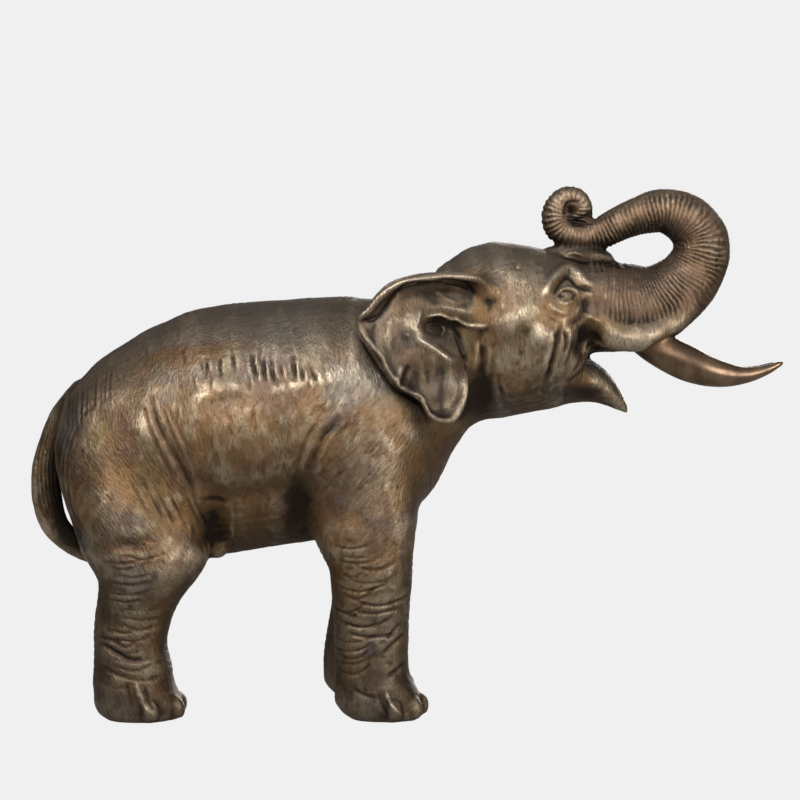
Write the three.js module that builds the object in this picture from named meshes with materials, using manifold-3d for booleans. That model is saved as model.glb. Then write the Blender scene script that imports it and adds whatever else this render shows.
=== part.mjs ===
// Bronze elephant, one casting, standing on its four feet with the trunk curled back over the
// forehead. Millimetres, +Z up, +X towards the tusks, +Y to the animal's left, and the origin on
// the ground under the middle of the casting.
//
// Every limb is a loft: oval rings along a smooth curve through a few stations. The lofts, the
// two ears and the toes are joined into one solid.
import * as THREE from 'three';
import Module from 'manifold-3d';

const wasm = await Module();
wasm.setup();

// ---- driving dimensions ----------------------------------------------------------------------
const BELLY_HALF_WIDTH = 86;
const FRONT_STANCE = 47;            // from the middle plane to the middle of a forefoot
const REAR_STANCE = 50;
const FRONT_STAGGER = 11;           // the left forefoot stands this far behind the right one
const REAR_STAGGER = 14;            // and the left hind foot
const LEFT_HIND_FOOT = 0.86;        // its length, as a share of the right one's
const TOP_OF_EAR_DROP = 5;          // how much lower the left ear's upper rim hangs
const EAR_THICKNESS = 5;
const LEFT_TUSK_DIP = 3;            // how much lower the left tusk's tip is
const LEFT = 1;
const RIGHT = -1;

const MATERIAL = new THREE.MeshStandardMaterial({
  name: 'bronze', color: 0x6b5338, roughness: 0.42, metalness: 1,
});

// ---- lofts -----------------------------------------------------------------------------------
// A station is { at: [x, y, z], wide, deep, lean }: the ring's middle, its half width across the
// body, its half depth, and how far its top leans back, in degrees. Without a lean the ring stands
// square to the curve.
function mirrored(stations, side) {
  return stations.map((s) => ({ ...s, at: [s.at[0], s.at[1] * side, s.at[2]] }));
}

function track(stations, pick) {
  return new THREE.CatmullRomCurve3(stations.map(pick));
}

function ringFrame(tangent, lean) {
  const across = new THREE.Vector3(0, 1, 0);
  if (lean !== undefined) {
    const angle = THREE.MathUtils.degToRad(lean);
    return { across, up: new THREE.Vector3(-Math.sin(angle), 0, Math.cos(angle)) };
  }
  across.addScaledVector(tangent, -tangent.y).normalize();
  return { across, up: new THREE.Vector3().crossVectors(tangent, across) };
}

// steps are the spans along the curve, sides the corners of a ring, and cap the depth of the
// domes that close the two ends. A boxy below 1 fills out the corners of the oval.
function loft(stations, { steps, sides, cap = [0, 0], boxy = 1 }) {
  const middle = track(stations, (s) => new THREE.Vector3(...s.at));
  const size = track(stations, (s) => new THREE.Vector3(s.wide, s.deep, s.lean ?? 0));
  const leaning = stations[0].lean !== undefined;
  const rings = [];
  const domeRings = 3;

  function ring(t, along, shrink) {
    const tangent = middle.getTangent(t);
    const { x: wide, y: deep, z: lean } = size.getPoint(t);
    const { across, up } = ringFrame(tangent, leaning ? lean : undefined);
    const centre = middle.getPoint(t).addScaledVector(tangent, along);
    rings.push(Array.from({ length: sides }, (_, j) => {
      const angle = (2 * Math.PI * j) / sides;
      return centre.clone()
        .addScaledVector(across, wide * shrink * filled(Math.cos(angle)))
        .addScaledVector(up, deep * shrink * filled(Math.sin(angle)));
    }));
  }

  function filled(share) {
    return Math.sign(share) * Math.abs(share) ** boxy;
  }

  function pole(t, along) {
    return middle.getPoint(t).addScaledVector(middle.getTangent(t), along);
  }

  const domes = (depth) => (depth > 0 ? domeRings : 0);
  for (let k = domes(cap[0]); k > 0; k -= 1) {
    const angle = (Math.PI / 2) * (k / (domeRings + 1));
    ring(0, -cap[0] * Math.sin(angle), Math.cos(angle));
  }
  for (let i = 0; i <= steps; i += 1) ring(i / steps, 0, 1);
  for (let k = 1; k <= domes(cap[1]); k += 1) {
    const angle = (Math.PI / 2) * (k / (domeRings + 1));
    ring(1, cap[1] * Math.sin(angle), Math.cos(angle));
  }
  return skin(rings, pole(0, -cap[0]), pole(1, cap[1]));
}

// A closed skin over a row of rings, with a pole at each end.
function skin(rings, first, last) {
  const sides = rings[0].length;
  const points = [first, ...rings.flat(), last];
  const faces = [];
  const at = (i, j) => 1 + i * sides + (j % sides);
  const end = points.length - 1;
  for (let j = 0; j < sides; j += 1) {
    faces.push(0, at(0, j + 1), at(0, j));
    faces.push(end, at(rings.length - 1, j), at(rings.length - 1, j + 1));
    for (let i = 0; i + 1 < rings.length; i += 1) {
      faces.push(at(i, j), at(i, j + 1), at(i + 1, j));
      faces.push(at(i + 1, j), at(i, j + 1), at(i + 1, j + 1));
    }
  }
  return new THREE.BufferGeometry().setFromPoints(points).setIndex(faces);
}

function solid(geometry) {
  const made = new wasm.Manifold(new wasm.Mesh({
    numProp: 3,
    vertProperties: new Float32Array(geometry.attributes.position.array),
    triVerts: new Uint32Array(geometry.index.array),
  }));
  if (made.volume() > 0) return made;
  const turned = Array.from(geometry.index.array).reverse();
  return solid(geometry.clone().setIndex(turned));
}

// ---- body, head and jaw ----------------------------------------------------------------------
function torso() {
  return loft([
    { at: [-268, 0, 216], wide: 40, deep: 40, lean: 0 },
    { at: [-247, 0, 213.5], wide: 62, deep: 65.5, lean: 0 },
    { at: [-205, 0, 215.5], wide: 76, deep: 89, lean: 0 },
    { at: [-165, 0, 221], wide: 83, deep: 99.5, lean: 0 },
    { at: [-125, 0, 226.5], wide: BELLY_HALF_WIDTH, deep: 99, lean: 0 },
    { at: [-80, 0, 231.7], wide: BELLY_HALF_WIDTH, deep: 97.3, lean: 0 },
    { at: [-40, 0, 237], wide: 80, deep: 93, lean: 4 },
    { at: [-12, 0, 247], wide: 71, deep: 84.5, lean: 16 },
    { at: [14, 0, 267], wide: 60, deep: 66, lean: 18 },
    { at: [43, 0, 289], wide: 54, deep: 58, lean: 10 },
  ], { steps: 16, sides: 22, cap: [10, 20] });
}

function head() {
  return loft([
    { at: [36, 0, 301], wide: 46, deep: 56, lean: 6 },
    { at: [52, 0, 301.5], wide: 56, deep: 68.5, lean: 0 },
    { at: [74, 0, 303.3], wide: 61, deep: 70, lean: 0 },
    { at: [98, 0, 303.5], wide: 62, deep: 66, lean: 0 },
    { at: [120, 0, 303.5], wide: 57, deep: 60, lean: 0 },
    { at: [134, 0, 309.5], wide: 50, deep: 50, lean: 0 },
    { at: [146, 0, 321], wide: 43, deep: 35, lean: 0 },
    { at: [162, 0, 323], wide: 38, deep: 33, lean: 0 },
  ], { steps: 10, sides: 22, cap: [16, 6] });
}

function jaw() {
  return loft([
    { at: [104, 0, 270], wide: 36, deep: 27.5, lean: 0 },
    { at: [130, 0, 265], wide: 31, deep: 20, lean: 0 },
    { at: [148, 0, 262], wide: 24, deep: 16.5, lean: 0 },
    { at: [158, 0, 257], wide: 18, deep: 14, lean: 0 },
    { at: [165, 0, 251.5], wide: 13.5, deep: 11.5, lean: 0 },
    { at: [170.5, 0, 246], wide: 9.5, deep: 8, lean: 0 },
    { at: [174.5, 0, 241], wide: 5, deep: 4.5, lean: 0 },
  ], { steps: 8, sides: 14, cap: [10, 2.5] });
}

// The tip of the trunk rests on this small web on the forehead.
function forehead() {
  return loft([
    { at: [112, 0, 360], wide: 9, deep: 9, lean: 0 },
    { at: [130, 0, 362], wide: 12, deep: 10, lean: 0 },
    { at: [148, 0, 362], wide: 12, deep: 9, lean: 0 },
    { at: [160, 0, 359], wide: 9, deep: 6, lean: 0 },
  ], { steps: 5, sides: 10, cap: [5, 4] });
}

// ---- trunk and tusks -------------------------------------------------------------------------
function trunk() {
  return loft([
    { at: [142, 0, 323], wide: 42, deep: 35.5 },
    { at: [160, 0, 321.5], wide: 41, deep: 35.5 },
    { at: [180, 0, 321.5], wide: 37, deep: 34.3 },
    { at: [197, 0, 325], wide: 32, deep: 31.5 },
    { at: [211, 0, 332.5], wide: 27.5, deep: 28 },
    { at: [224, 0, 344], wide: 24, deep: 25.5 },
    { at: [233, 0, 362], wide: 21, deep: 23.2 },
    { at: [232, 0, 379], wide: 19.5, deep: 22 },
    { at: [221.5, 0, 391], wide: 18, deep: 21 },
    { at: [204, 0, 397.5], wide: 16, deep: 18 },
    { at: [185, 0, 394.5], wide: 14.5, deep: 15.6 },
    { at: [169, 0, 388.3], wide: 13, deep: 14 },
    { at: [153, 0, 380.5], wide: 11.8, deep: 13 },
    { at: [135, 0, 377.3], wide: 11, deep: 11.5 },
    { at: [120, 0, 384.5], wide: 10.6, deep: 11.4 },
    { at: [117.5, 0, 397], wide: 10.4, deep: 11.6 },
    { at: [124, 0, 407], wide: 9.8, deep: 9.8 },
    { at: [134, 0, 406.2], wide: 9.6, deep: 10.4 },
    { at: [138, 0, 399], wide: 9.2, deep: 9.8 },
    { at: [137, 0, 391.5], wide: 8.4, deep: 9.4 },
  ], { steps: 38, sides: 12, cap: [8, 3] });
}

// The swelling along the lower edge of the trunk's root, out of which a tusk comes.
function tuskSheath(side) {
  return loft(mirrored([
    { at: [148, 34, 306], wide: 9, deep: 10 },
    { at: [170, 33, 299], wide: 10, deep: 11.5 },
    { at: [190, 29, 300], wide: 9.5, deep: 11 },
    { at: [208, 23, 309], wide: 8, deep: 9 },
    { at: [222, 16, 322], wide: 6, deep: 6 },
  ], side), { steps: 7, sides: 8, cap: [6, 4] });
}

function tusk(side) {
  const stations = mirrored([
    { at: [186, 20, 297.5], wide: 12, deep: 12.6 },
    { at: [201, 23, 287.5], wide: 12.8, deep: 13.8 },
    { at: [217.6, 26, 279.3], wide: 13, deep: 14.3 },
    { at: [233.6, 28, 272.8], wide: 11.6, deep: 12.5 },
    { at: [249.6, 28, 269.2], wide: 9.2, deep: 10 },
    { at: [265.6, 27, 268.6], wide: 6.4, deep: 6.6 },
    { at: [281.6, 24, 272], wide: 3.9, deep: 4.3 },
    { at: [296.7, 21, 278.2], wide: 1.3, deep: 1.5 },
  ], side);
  const dip = side === LEFT ? LEFT_TUSK_DIP : 0;
  const dipped = stations.map((s) => {
    const [x, y, z] = s.at;
    return { ...s, at: [x, y, z - dip * THREE.MathUtils.smoothstep(x, 210, 290)] };
  });
  return loft(dipped, { steps: 12, sides: 10, cap: [6, 1.5] });
}

function tail() {
  return loft([
    { at: [-256, 0, 251], wide: 10, deep: 15 },
    { at: [-274, 0, 232], wide: 9, deep: 13.2 },
    { at: [-286, 1, 208], wide: 8.5, deep: 11.5 },
    { at: [-290.5, 3, 184], wide: 8.5, deep: 11.6 },
    { at: [-290, 5, 166], wide: 8.5, deep: 12.4 },
    { at: [-285.5, 7, 149], wide: 8, deep: 11.6 },
    { at: [-275.5, 10, 135], wide: 7, deep: 10 },
    { at: [-262, 13, 123], wide: 5, deep: 7 },
    { at: [-248, 15, 114], wide: 2.2, deep: 3 },
  ], { steps: 15, sides: 10, cap: [6, 3] });
}

// ---- legs ------------------------------------------------------------------------------------
// A leg's rings lie level, and deep is their half length from front to back.
function foreleg(side) {
  const y = FRONT_STANCE;
  const stations = [
    { at: [-18, y, 0], wide: 27, deep: 27.5 },
    { at: [-20, y, 5], wide: 31, deep: 32 },
    { at: [-23.5, y, 13], wide: 32, deep: 34 },
    { at: [-25, y, 21], wide: 31.5, deep: 32.8 },
    { at: [-27, y, 29], wide: 30.5, deep: 30.8 },
    { at: [-28.5, y, 38], wide: 29.5, deep: 29.2 },
    { at: [-28.8, y, 55], wide: 29, deep: 29 },
    { at: [-28.8, y, 77], wide: 29, deep: 29.5 },
    { at: [-28.8, y, 93], wide: 29.5, deep: 30.5 },
    { at: [-29.5, y, 116], wide: 30.5, deep: 32.5 },
    { at: [-33, y - 1, 134], wide: 33, deep: 37.5 },
    { at: [-35, y - 4, 156], wide: 36, deep: 42.5 },
    { at: [-37, y - 11, 208], wide: 38, deep: 48 },
    { at: [-32, y - 18, 262], wide: 32, deep: 44 },
  ];
  return loft(
    standing(stations, side, FRONT_STAGGER, 1),
    { steps: 17, sides: 16, cap: [0, 22], boxy: 0.84 },
  );
}

function hindleg(side) {
  const y = REAR_STANCE;
  const stations = [
    { at: [-210, y, 0], wide: 27, deep: 27.5 },
    { at: [-212, y, 5], wide: 31, deep: 32 },
    { at: [-212.5, y, 13], wide: 32, deep: 34.4 },
    { at: [-214, y, 21], wide: 32, deep: 33 },
    { at: [-216, y, 29], wide: 31.5, deep: 31.6 },
    { at: [-216.5, y, 40], wide: 30, deep: 31 },
    { at: [-218.2, y, 61], wide: 28.5, deep: 28.6 },
    { at: [-216, y, 77], wide: 28.5, deep: 29.6 },
    { at: [-211.5, y, 93], wide: 31, deep: 32.2 },
    { at: [-205.5, y, 108], wide: 34, deep: 37.6 },
    { at: [-204.5, y, 117], wide: 36, deep: 43 },
    { at: [-206, y - 1, 130], wide: 38, deep: 50 },
    { at: [-211.5, y - 5, 152], wide: 40, deep: 52 },
    { at: [-220, y - 11, 186], wide: 40, deep: 54 },
    { at: [-223, y - 15, 216], wide: 38, deep: 52 },
    { at: [-219, y - 20, 248], wide: 32, deep: 40 },
  ];
  return loft(
    standing(stations, side, REAR_STAGGER, LEFT_HIND_FOOT),
    { steps: 18, sides: 16, cap: [0, 16], boxy: 0.9 },
  );
}

// A leg's stations on its own side. The left leg stands back by stagger at the foot, which is cast
// shorter by slim; both die out up the leg.
function standing(stations, side, stagger, slim) {
  return mirrored(stations, side).map((s) => {
    const low = side === LEFT ? 1 - THREE.MathUtils.smoothstep(s.at[2], 30, 110) : 0;
    const [x, y, z] = s.at;
    const deep = s.deep * THREE.MathUtils.lerp(1, slim, low);
    return { ...s, at: [x - stagger * low, y, z], deep, lean: 90 };
  });
}

// Toes: balls in an arc round the front of a foot.
function toes(x, y, radius, count) {
  const spread = THREE.MathUtils.degToRad(144);
  return Array.from({ length: count }, (_, k) => {
    const angle = spread * (k / (count - 1) - 0.5);
    const toe = new THREE.SphereGeometry(1, 7, 5).scale(9, 7.6, 9.6).rotateZ(angle);
    toe.translate(x + radius * Math.cos(angle), y + radius * Math.sin(angle), 10);
    return roundSolid(toe);
  });
}

// three.js closes a sphere with doubled seam vertices, so its corners are welded here.
function roundSolid(geometry) {
  const { position } = geometry.attributes;
  const seen = new Map();
  const points = [];
  const weld = Array.from({ length: position.count }, (_, i) => {
    const p = new THREE.Vector3().fromBufferAttribute(position, i);
    const key = p.toArray().map((v) => Math.round(v * 1e4)).join();
    if (!seen.has(key)) seen.set(key, points.push(p) - 1);
    return seen.get(key);
  });
  const faces = [];
  const { array } = geometry.index;
  for (let i = 0; i < array.length; i += 3) {
    const [a, b, c] = [weld[array[i]], weld[array[i + 1]], weld[array[i + 2]]];
    if (a !== b && b !== c && a !== c) faces.push(a, b, c);
  }
  return solid(new THREE.BufferGeometry().setFromPoints(points).setIndex(faces));
}

// ---- ears ------------------------------------------------------------------------------------
// An ear is a leaf between its root line on the head and its free rim. Both are smooth curves in
// the side view, and earStandOff says how far the leaf stands out from the middle plane.
const EAR_ROOT = [[60, 336], [57, 322], [52, 311], [47, 297], [45, 282], [45, 266]];
const EAR_RIM = [
  [59, 343], [45, 349], [30, 351.5], [15, 351], [1, 347], [-12, 341], [-25, 334.5], [-34, 325],
  [-39, 314], [-35, 303], [-28, 292], [-18, 273], [-8, 259], [7, 254], [15, 243], [22, 236],
  [31, 233], [39, 239], [43, 250],
];

function earStandOff(across, down) {
  const flare = 54 + 32 * Math.sin((Math.PI / 2) * across);
  const wave = 4 * Math.sin(7 * down + 0.6) * across;
  return flare + wave - 8 * down * down;
}

function ear(side) {
  const columns = 5;
  const rows = 17;
  const drop = side === LEFT ? TOP_OF_EAR_DROP : 0;
  const root = track(EAR_ROOT, ([x, z]) => new THREE.Vector3(x, 0, z));
  const rim = track(EAR_RIM, ([x, z]) => new THREE.Vector3(x, 0, z));
  const layer = (offset) => Array.from({ length: rows + 1 }, (_, i) => {
    const down = i / rows;
    return Array.from({ length: columns + 1 }, (__, j) => {
      const across = j / columns;
      const p = root.getPoint(down).lerp(rim.getPoint(down), across);
      const half = (EAR_THICKNESS / 2) * (across === 1 ? 0.5 : 1);
      p.y = side * (earStandOff(across, down) + offset * half);
      p.z -= drop * across * Math.max(0, 1 - 2 * down);
      return p;
    });
  });
  const points = [...layer(1).flat(), ...layer(-1).flat()];
  const width = columns + 1;
  const back = width * (rows + 1);
  const faces = [];
  const quad = (a, b, c, d) => faces.push(a, b, c, a, c, d);
  for (let i = 0; i < rows; i += 1) {
    for (let j = 0; j < columns; j += 1) {
      const a = i * width + j;
      quad(a, a + 1, a + width + 1, a + width);
      quad(back + a, back + a + width, back + a + width + 1, back + a + 1);
    }
    const inner = i * width;
    const outer = inner + columns;
    quad(inner, inner + width, back + inner + width, back + inner);
    quad(outer, back + outer, back + outer + width, outer + width);
  }
  for (let j = 0; j < columns; j += 1) {
    const low = rows * width + j;
    quad(j, back + j, back + j + 1, j + 1);
    quad(low, low + 1, back + low + 1, back + low);
  }
  return solid(new THREE.BufferGeometry().setFromPoints(points).setIndex(faces));
}

// ---- assembly --------------------------------------------------------------------------------
function casting() {
  const pairs = [LEFT, RIGHT].flatMap((side) => [
    solid(foreleg(side)),
    solid(hindleg(side)),
    solid(tuskSheath(side)),
    solid(tusk(side)),
    ear(side),
    ...toes(side === LEFT ? -21 - FRONT_STAGGER : -21, side * FRONT_STANCE, 28.5, 5),
    ...toes(side === LEFT ? -210 - REAR_STAGGER : -210, side * REAR_STANCE, side === LEFT ? 24 : 28.5, 4),
  ]);
  const single = [torso(), head(), jaw(), forehead(), trunk(), tail()].map(solid);
  return single.concat(pairs).reduce((whole, piece) => whole.add(piece));
}

// The solid as one indexed geometry, its length centred on the origin.
function geometryOf(made) {
  const mesh = made.getMesh();
  const geometry = new THREE.BufferGeometry()
    .setAttribute('position', new THREE.BufferAttribute(mesh.vertProperties, 3))
    .setIndex(new THREE.BufferAttribute(mesh.triVerts, 1));
  geometry.computeBoundingBox();
  const { min, max } = geometry.boundingBox;
  return geometry.translate(-(min.x + max.x) / 2, 0, 0);
}

const elephant = new THREE.Mesh(geometryOf(casting()), MATERIAL);
elephant.name = 'elephant';

const group = new THREE.Group();
group.add(elephant);
export default group;
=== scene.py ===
"""Bronze elephant: one casting, sculpted as a fine mesh over the frame's node.

The body, head, trunk, tusks, ears, tail and legs are lofts turned into distance fields, joined
with soft fillets, and meshed. The skin is then worked in strokes, as a modelling tool would:
folds, wrinkles, the rings of the trunk, the eye. Lengths are in millimetres until the mesh is
handed to Blender.
"""

import math

import bpy
import numpy as np
import openvdb as vdb
from mathutils import Matrix, Vector


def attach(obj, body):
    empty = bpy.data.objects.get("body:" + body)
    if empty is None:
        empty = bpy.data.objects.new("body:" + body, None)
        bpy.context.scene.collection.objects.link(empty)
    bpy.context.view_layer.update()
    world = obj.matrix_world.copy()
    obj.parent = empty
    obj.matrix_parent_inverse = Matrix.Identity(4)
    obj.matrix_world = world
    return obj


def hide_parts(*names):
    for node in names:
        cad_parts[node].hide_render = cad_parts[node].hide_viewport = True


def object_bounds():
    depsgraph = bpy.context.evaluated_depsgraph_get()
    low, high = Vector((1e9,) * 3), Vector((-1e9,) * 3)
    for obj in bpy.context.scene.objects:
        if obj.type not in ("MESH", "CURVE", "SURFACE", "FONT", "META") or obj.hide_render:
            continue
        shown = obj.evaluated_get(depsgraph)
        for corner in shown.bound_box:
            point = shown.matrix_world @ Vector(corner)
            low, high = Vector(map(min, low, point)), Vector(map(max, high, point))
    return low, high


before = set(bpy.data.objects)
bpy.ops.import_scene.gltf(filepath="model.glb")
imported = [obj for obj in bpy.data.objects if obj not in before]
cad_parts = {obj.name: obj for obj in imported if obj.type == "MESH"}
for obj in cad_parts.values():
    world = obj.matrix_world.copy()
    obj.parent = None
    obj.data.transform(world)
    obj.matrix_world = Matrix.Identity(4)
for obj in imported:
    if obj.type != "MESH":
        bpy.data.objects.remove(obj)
cad_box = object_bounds()

MM = 0.001
VOXEL = 1.0       # spacing of the distance fields
BAND = 15                                # how many voxels deep a field is known
SHIFT = 2.0                              # the casting's middle is this far behind the stations' zero
TRIANGLES = 196000
rng = np.random.default_rng(7)

LEFT, RIGHT = 1, -1
FRONT_STANCE = 47
REAR_STANCE = 50
FRONT_STAGGER = 11
REAR_STAGGER = 14
LEFT_HIND_FOOT = 0.86
LEFT_TUSK_DIP = 3
LEFT_EAR_DROP = 5

# The camera's distance, its height angle and the point it looks at.
CAMERA_DISTANCE = 2200
CAMERA_ELEVATION = math.radians(4)
CAMERA_TARGET = np.array([-6.4, 0, 247])


# ---- curves ----------------------------------------------------------------------------------
def spline(points, steps):
    """Points along a centripetal Catmull-Rom curve, steps spans in all, evenly over the points."""
    p = np.asarray(points, float)
    p = np.vstack([2 * p[0] - p[1], p, 2 * p[-1] - p[-2]])
    spans = len(p) - 3
    t = np.linspace(0, spans, steps + 1)
    i = np.minimum(t.astype(int), spans - 1)
    f = (t - i)[:, None]
    a, b, c, d = p[i], p[i + 1], p[i + 2], p[i + 3]
    gaps = [np.maximum(np.linalg.norm(e - s, axis=1), 1e-4)[:, None] ** 0.5
            for s, e in ((a, b), (b, c), (c, d))]
    k0, k1, k2 = gaps
    t1 = ((b - a) / k0 - (c - a) / (k0 + k1) + (c - b) / k1) * k1
    t2 = ((c - b) / k1 - (d - b) / (k1 + k2) + (d - c) / k2) * k1
    return b + t1 * f + (3 * (c - b) - 2 * t1 - t2) * f ** 2 + (2 * (b - c) + t1 + t2) * f ** 3


def arc(start, end, bow):
    """A round path in the side view, its middle bow millimetres to the left of the way it runs."""
    start, end = np.array([start, end], float)
    chord = end - start
    left = np.array([-chord[1], chord[0]]) / np.linalg.norm(chord)
    share = np.linspace(0, 1, 5)[:, None]
    return start + chord * share + left * bow * 4 * share * (1 - share)


def smoothstep(x, low, high):
    t = np.clip((x - low) / (high - low), 0, 1)
    return t * t * (3 - 2 * t)


# ---- lofts -----------------------------------------------------------------------------------
# A station is (x, y, z, half width across, half depth, lean): lean turns the ring's top back, in
# degrees; without it the ring stands square to the curve.
def loft(stations, steps, sides, cap, square=1.0):
    """A closed skin over rings; square below 1 makes the rings boxier."""
    leaning = len(stations[0]) > 5
    middle = spline([s[:3] for s in stations], steps)
    size = spline([(s[3], s[4], s[5] if leaning else 0) for s in stations], steps)
    tangent = np.gradient(middle, axis=0)
    tangent /= np.linalg.norm(tangent, axis=1)[:, None]
    across = np.tile([0.0, 1.0, 0.0], (len(middle), 1))
    if leaning:
        lean = np.radians(size[:, 2])
        up = np.stack([-np.sin(lean), 0 * lean, np.cos(lean)], 1)
    else:
        across -= tangent * tangent[:, 1:2]
        across /= np.linalg.norm(across, axis=1)[:, None]
        up = np.cross(tangent, across)
    rows = [(0, -cap[0] * math.sin(a), math.cos(a)) for a in np.radians([75, 50, 25])]
    rows = rows if cap[0] else []
    rows += [(i, 0, 1) for i in range(len(middle))]
    if cap[1]:
        rows += [(-1, cap[1] * math.sin(a), math.cos(a)) for a in np.radians([25, 50, 75])]
    turn = np.linspace(0, 2 * math.pi, sides, endpoint=False)
    side_way = np.sign(np.cos(turn)) * np.abs(np.cos(turn)) ** square
    deep_way = np.sign(np.sin(turn)) * np.abs(np.sin(turn)) ** square
    rings = []
    for i, along, shrink in rows:
        centre = middle[i] + tangent[i] * along
        rings.append(centre
                     + np.outer(side_way, across[i] * size[i, 0] * shrink)
                     + np.outer(deep_way, up[i] * size[i, 1] * shrink))
    first = middle[0] - tangent[0] * cap[0]
    last = middle[-1] + tangent[-1] * cap[1]
    return skin(np.array(rings), first, last)


def skin(rings, first, last):
    """A closed triangle mesh over a row of rings."""
    count, sides = rings.shape[:2]
    points = np.vstack([first, rings.reshape(-1, 3), last])
    i, j = np.meshgrid(np.arange(count - 1), np.arange(sides), indexing="ij")
    k = (j + 1) % sides
    a, b, c, d = 1 + i * sides + j, 1 + i * sides + k, 1 + (i + 1) * sides + j, 1 + (i + 1) * sides + k
    faces = [np.stack([a, b, c], -1).reshape(-1, 3), np.stack([c, b, d], -1).reshape(-1, 3)]
    j = np.arange(sides)
    k = (j + 1) % sides
    end = len(points) - 1
    faces.append(np.stack([0 * j, 1 + k, 1 + j], -1))
    faces.append(np.stack([0 * j + end, end - sides + j, end - sides + k], -1))
    return points, np.vstack(faces)


def mirrored(stations, side):
    return [(s[0], s[1] * side, *s[2:]) for s in stations]


def tusk_stations(side):
    """The left tusk dips a little more towards its tip than the right one."""
    return [(x, y * side, z - (LEFT_TUSK_DIP * float(smoothstep(x, 210, 290)) if side == LEFT else 0),
             *rest) for x, y, z, *rest in TUSK]


TORSO = [
    (-268, 0, 216, 40, 40, 0), (-247, 0, 213.5, 62, 65.5, 0), (-205, 0, 215.5, 76, 89, 0),
    (-165, 0, 221, 83, 99.5, 0), (-125, 0, 226.5, 86, 99, 0), (-80, 0, 231.7, 86, 97.3, 0),
    (-40, 0, 237, 80, 93, 4), (-12, 0, 247, 71, 84.5, 16), (14, 0, 267, 60, 66, 18),
    (43, 0, 289, 54, 58, 10),
]
HEAD = [
    (36, 0, 301, 46, 56, 6), (52, 0, 301.5, 56, 68.5, 0), (74, 0, 303.3, 61, 70, 0),
    (98, 0, 303.5, 62, 66, 0), (120, 0, 303.5, 57, 60, 0), (134, 0, 309.5, 50, 50, 0),
    (146, 0, 321, 43, 35, 0), (162, 0, 323, 38, 33, 0),
]
JAW = [
    (104, 0, 270, 36, 27.5, 0), (130, 0, 265, 31, 20, 0), (148, 0, 262, 24, 16.5, 0),
    (158, 0, 257, 18, 14, 0), (165, 0, 251.5, 13.5, 11.5, 0), (170.5, 0, 246, 9.5, 8, 0),
    (174.5, 0, 241, 5, 4.5, 0),
]
FOREHEAD = [
    (112, 0, 360, 9, 9, 0), (130, 0, 362, 12, 10, 0), (148, 0, 362, 12, 9, 0), (160, 0, 359, 9, 6, 0),
]
TRUNK = [
    (142, 0, 323, 42, 35.5), (160, 0, 321.5, 41, 35.5), (180, 0, 321.5, 37, 34.3),
    (197, 0, 325, 32, 31.5), (211, 0, 332.5, 27.5, 28), (224, 0, 344, 24, 25.5),
    (233, 0, 362, 21, 23.2), (232, 0, 379, 19.5, 22), (221.5, 0, 391, 18, 21),
    (204, 0, 397.5, 16, 18), (185, 0, 394.5, 14.5, 15.6), (169, 0, 388.3, 13, 14),
    (153, 0, 380.5, 11.8, 13), (135, 0, 377.3, 11, 11.5), (120, 0, 384.5, 10.6, 11.4),
    (117.5, 0, 397, 10.4, 11.6), (124, 0, 407, 9.8, 9.8), (134, 0, 406.2, 9.6, 10.4),
    (138, 0, 399, 9.2, 9.8), (137, 0, 391.5, 8.4, 9.4),
]
SHEATH = [
    (148, 34, 306, 9, 10), (170, 33, 299, 10, 11.5), (190, 29, 300, 9.5, 11),
    (208, 23, 309, 8, 9), (222, 16, 322, 6, 6),
]
TUSK = [
    (186, 20, 297.5, 12, 12.6), (201, 23, 287.5, 12.8, 13.8), (218, 26, 279, 13, 14.3),
    (234, 28, 272.5, 11.6, 12.5), (250, 28, 269, 9.2, 10), (266, 27, 268.5, 6.4, 6.6),
    (282, 24, 272, 4, 4.4), (296, 21, 278, 2, 2.2),
]
TAIL = [
    (-256, 0, 251, 10, 15), (-274, 0, 232, 9, 13.2), (-286, 1, 208, 8.5, 11.5),
    (-290.5, 3, 184, 8.5, 11.6), (-290, 5, 166, 8.5, 12.4), (-285.5, 7, 149, 8, 11.6),
    (-275.5, 10, 135, 7, 10), (-262, 13, 123, 5, 7), (-248, 15, 114, 2.6, 3.2),
]
# A leg's ring is (x, how far in from the stance, z, half width across, half depth), lying flat.
FORELEG = [
    (-18, 0, 0, 27, 27.5), (-20, 0, 5, 31, 32), (-23.5, 0, 13, 32, 34), (-25, 0, 21, 31.5, 32.8),
    (-27, 0, 29, 30.5, 30.8), (-28.5, 0, 38, 29.5, 29.2), (-29, 0, 55, 29, 29), (-29, 0, 77, 29, 29.5),
    (-29, 0, 93, 29.5, 30.5), (-29.5, 0, 116, 30.5, 32.5), (-33, 1, 134, 33, 37.5),
    (-35, 4, 156, 36, 42.5), (-37, 11, 208, 38, 48), (-32, 18, 262, 32, 44),
]
HINDLEG = [
    (-210, 0, 0, 27, 27.5), (-212, 0, 5, 31, 32), (-212.5, 0, 13, 32, 34.4), (-214, 0, 21, 32, 33),
    (-216, 0, 29, 31.5, 31.6), (-216.5, 0, 40, 30, 31), (-218.2, 0, 61, 28.5, 28.6),
    (-216, 0, 77, 28.5, 29.6), (-211.5, 0, 93, 31, 32.2), (-205.5, 0, 108, 34, 37.6),
    (-204.5, 0, 117, 36, 43), (-206, 1, 130, 38, 50), (-211.5, 5, 152, 40, 52),
    (-220, 11, 186, 40, 54), (-223, 15, 216, 38, 52), (-219, 20, 248, 32, 40),
]


def standing(rings, side, stance, stagger, slim):
    """A leg's stations on its own side; the left foot stands back and is a little shorter."""
    placed = []
    for x, inward, z, wide, deep in rings:
        low = 1 - float(smoothstep(z, 30, 110)) if side == LEFT else 0
        y = side * (stance - inward)
        placed.append((x - stagger * low, y, z, wide, deep * (1 + (slim - 1) * low), 90))
    return placed


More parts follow.
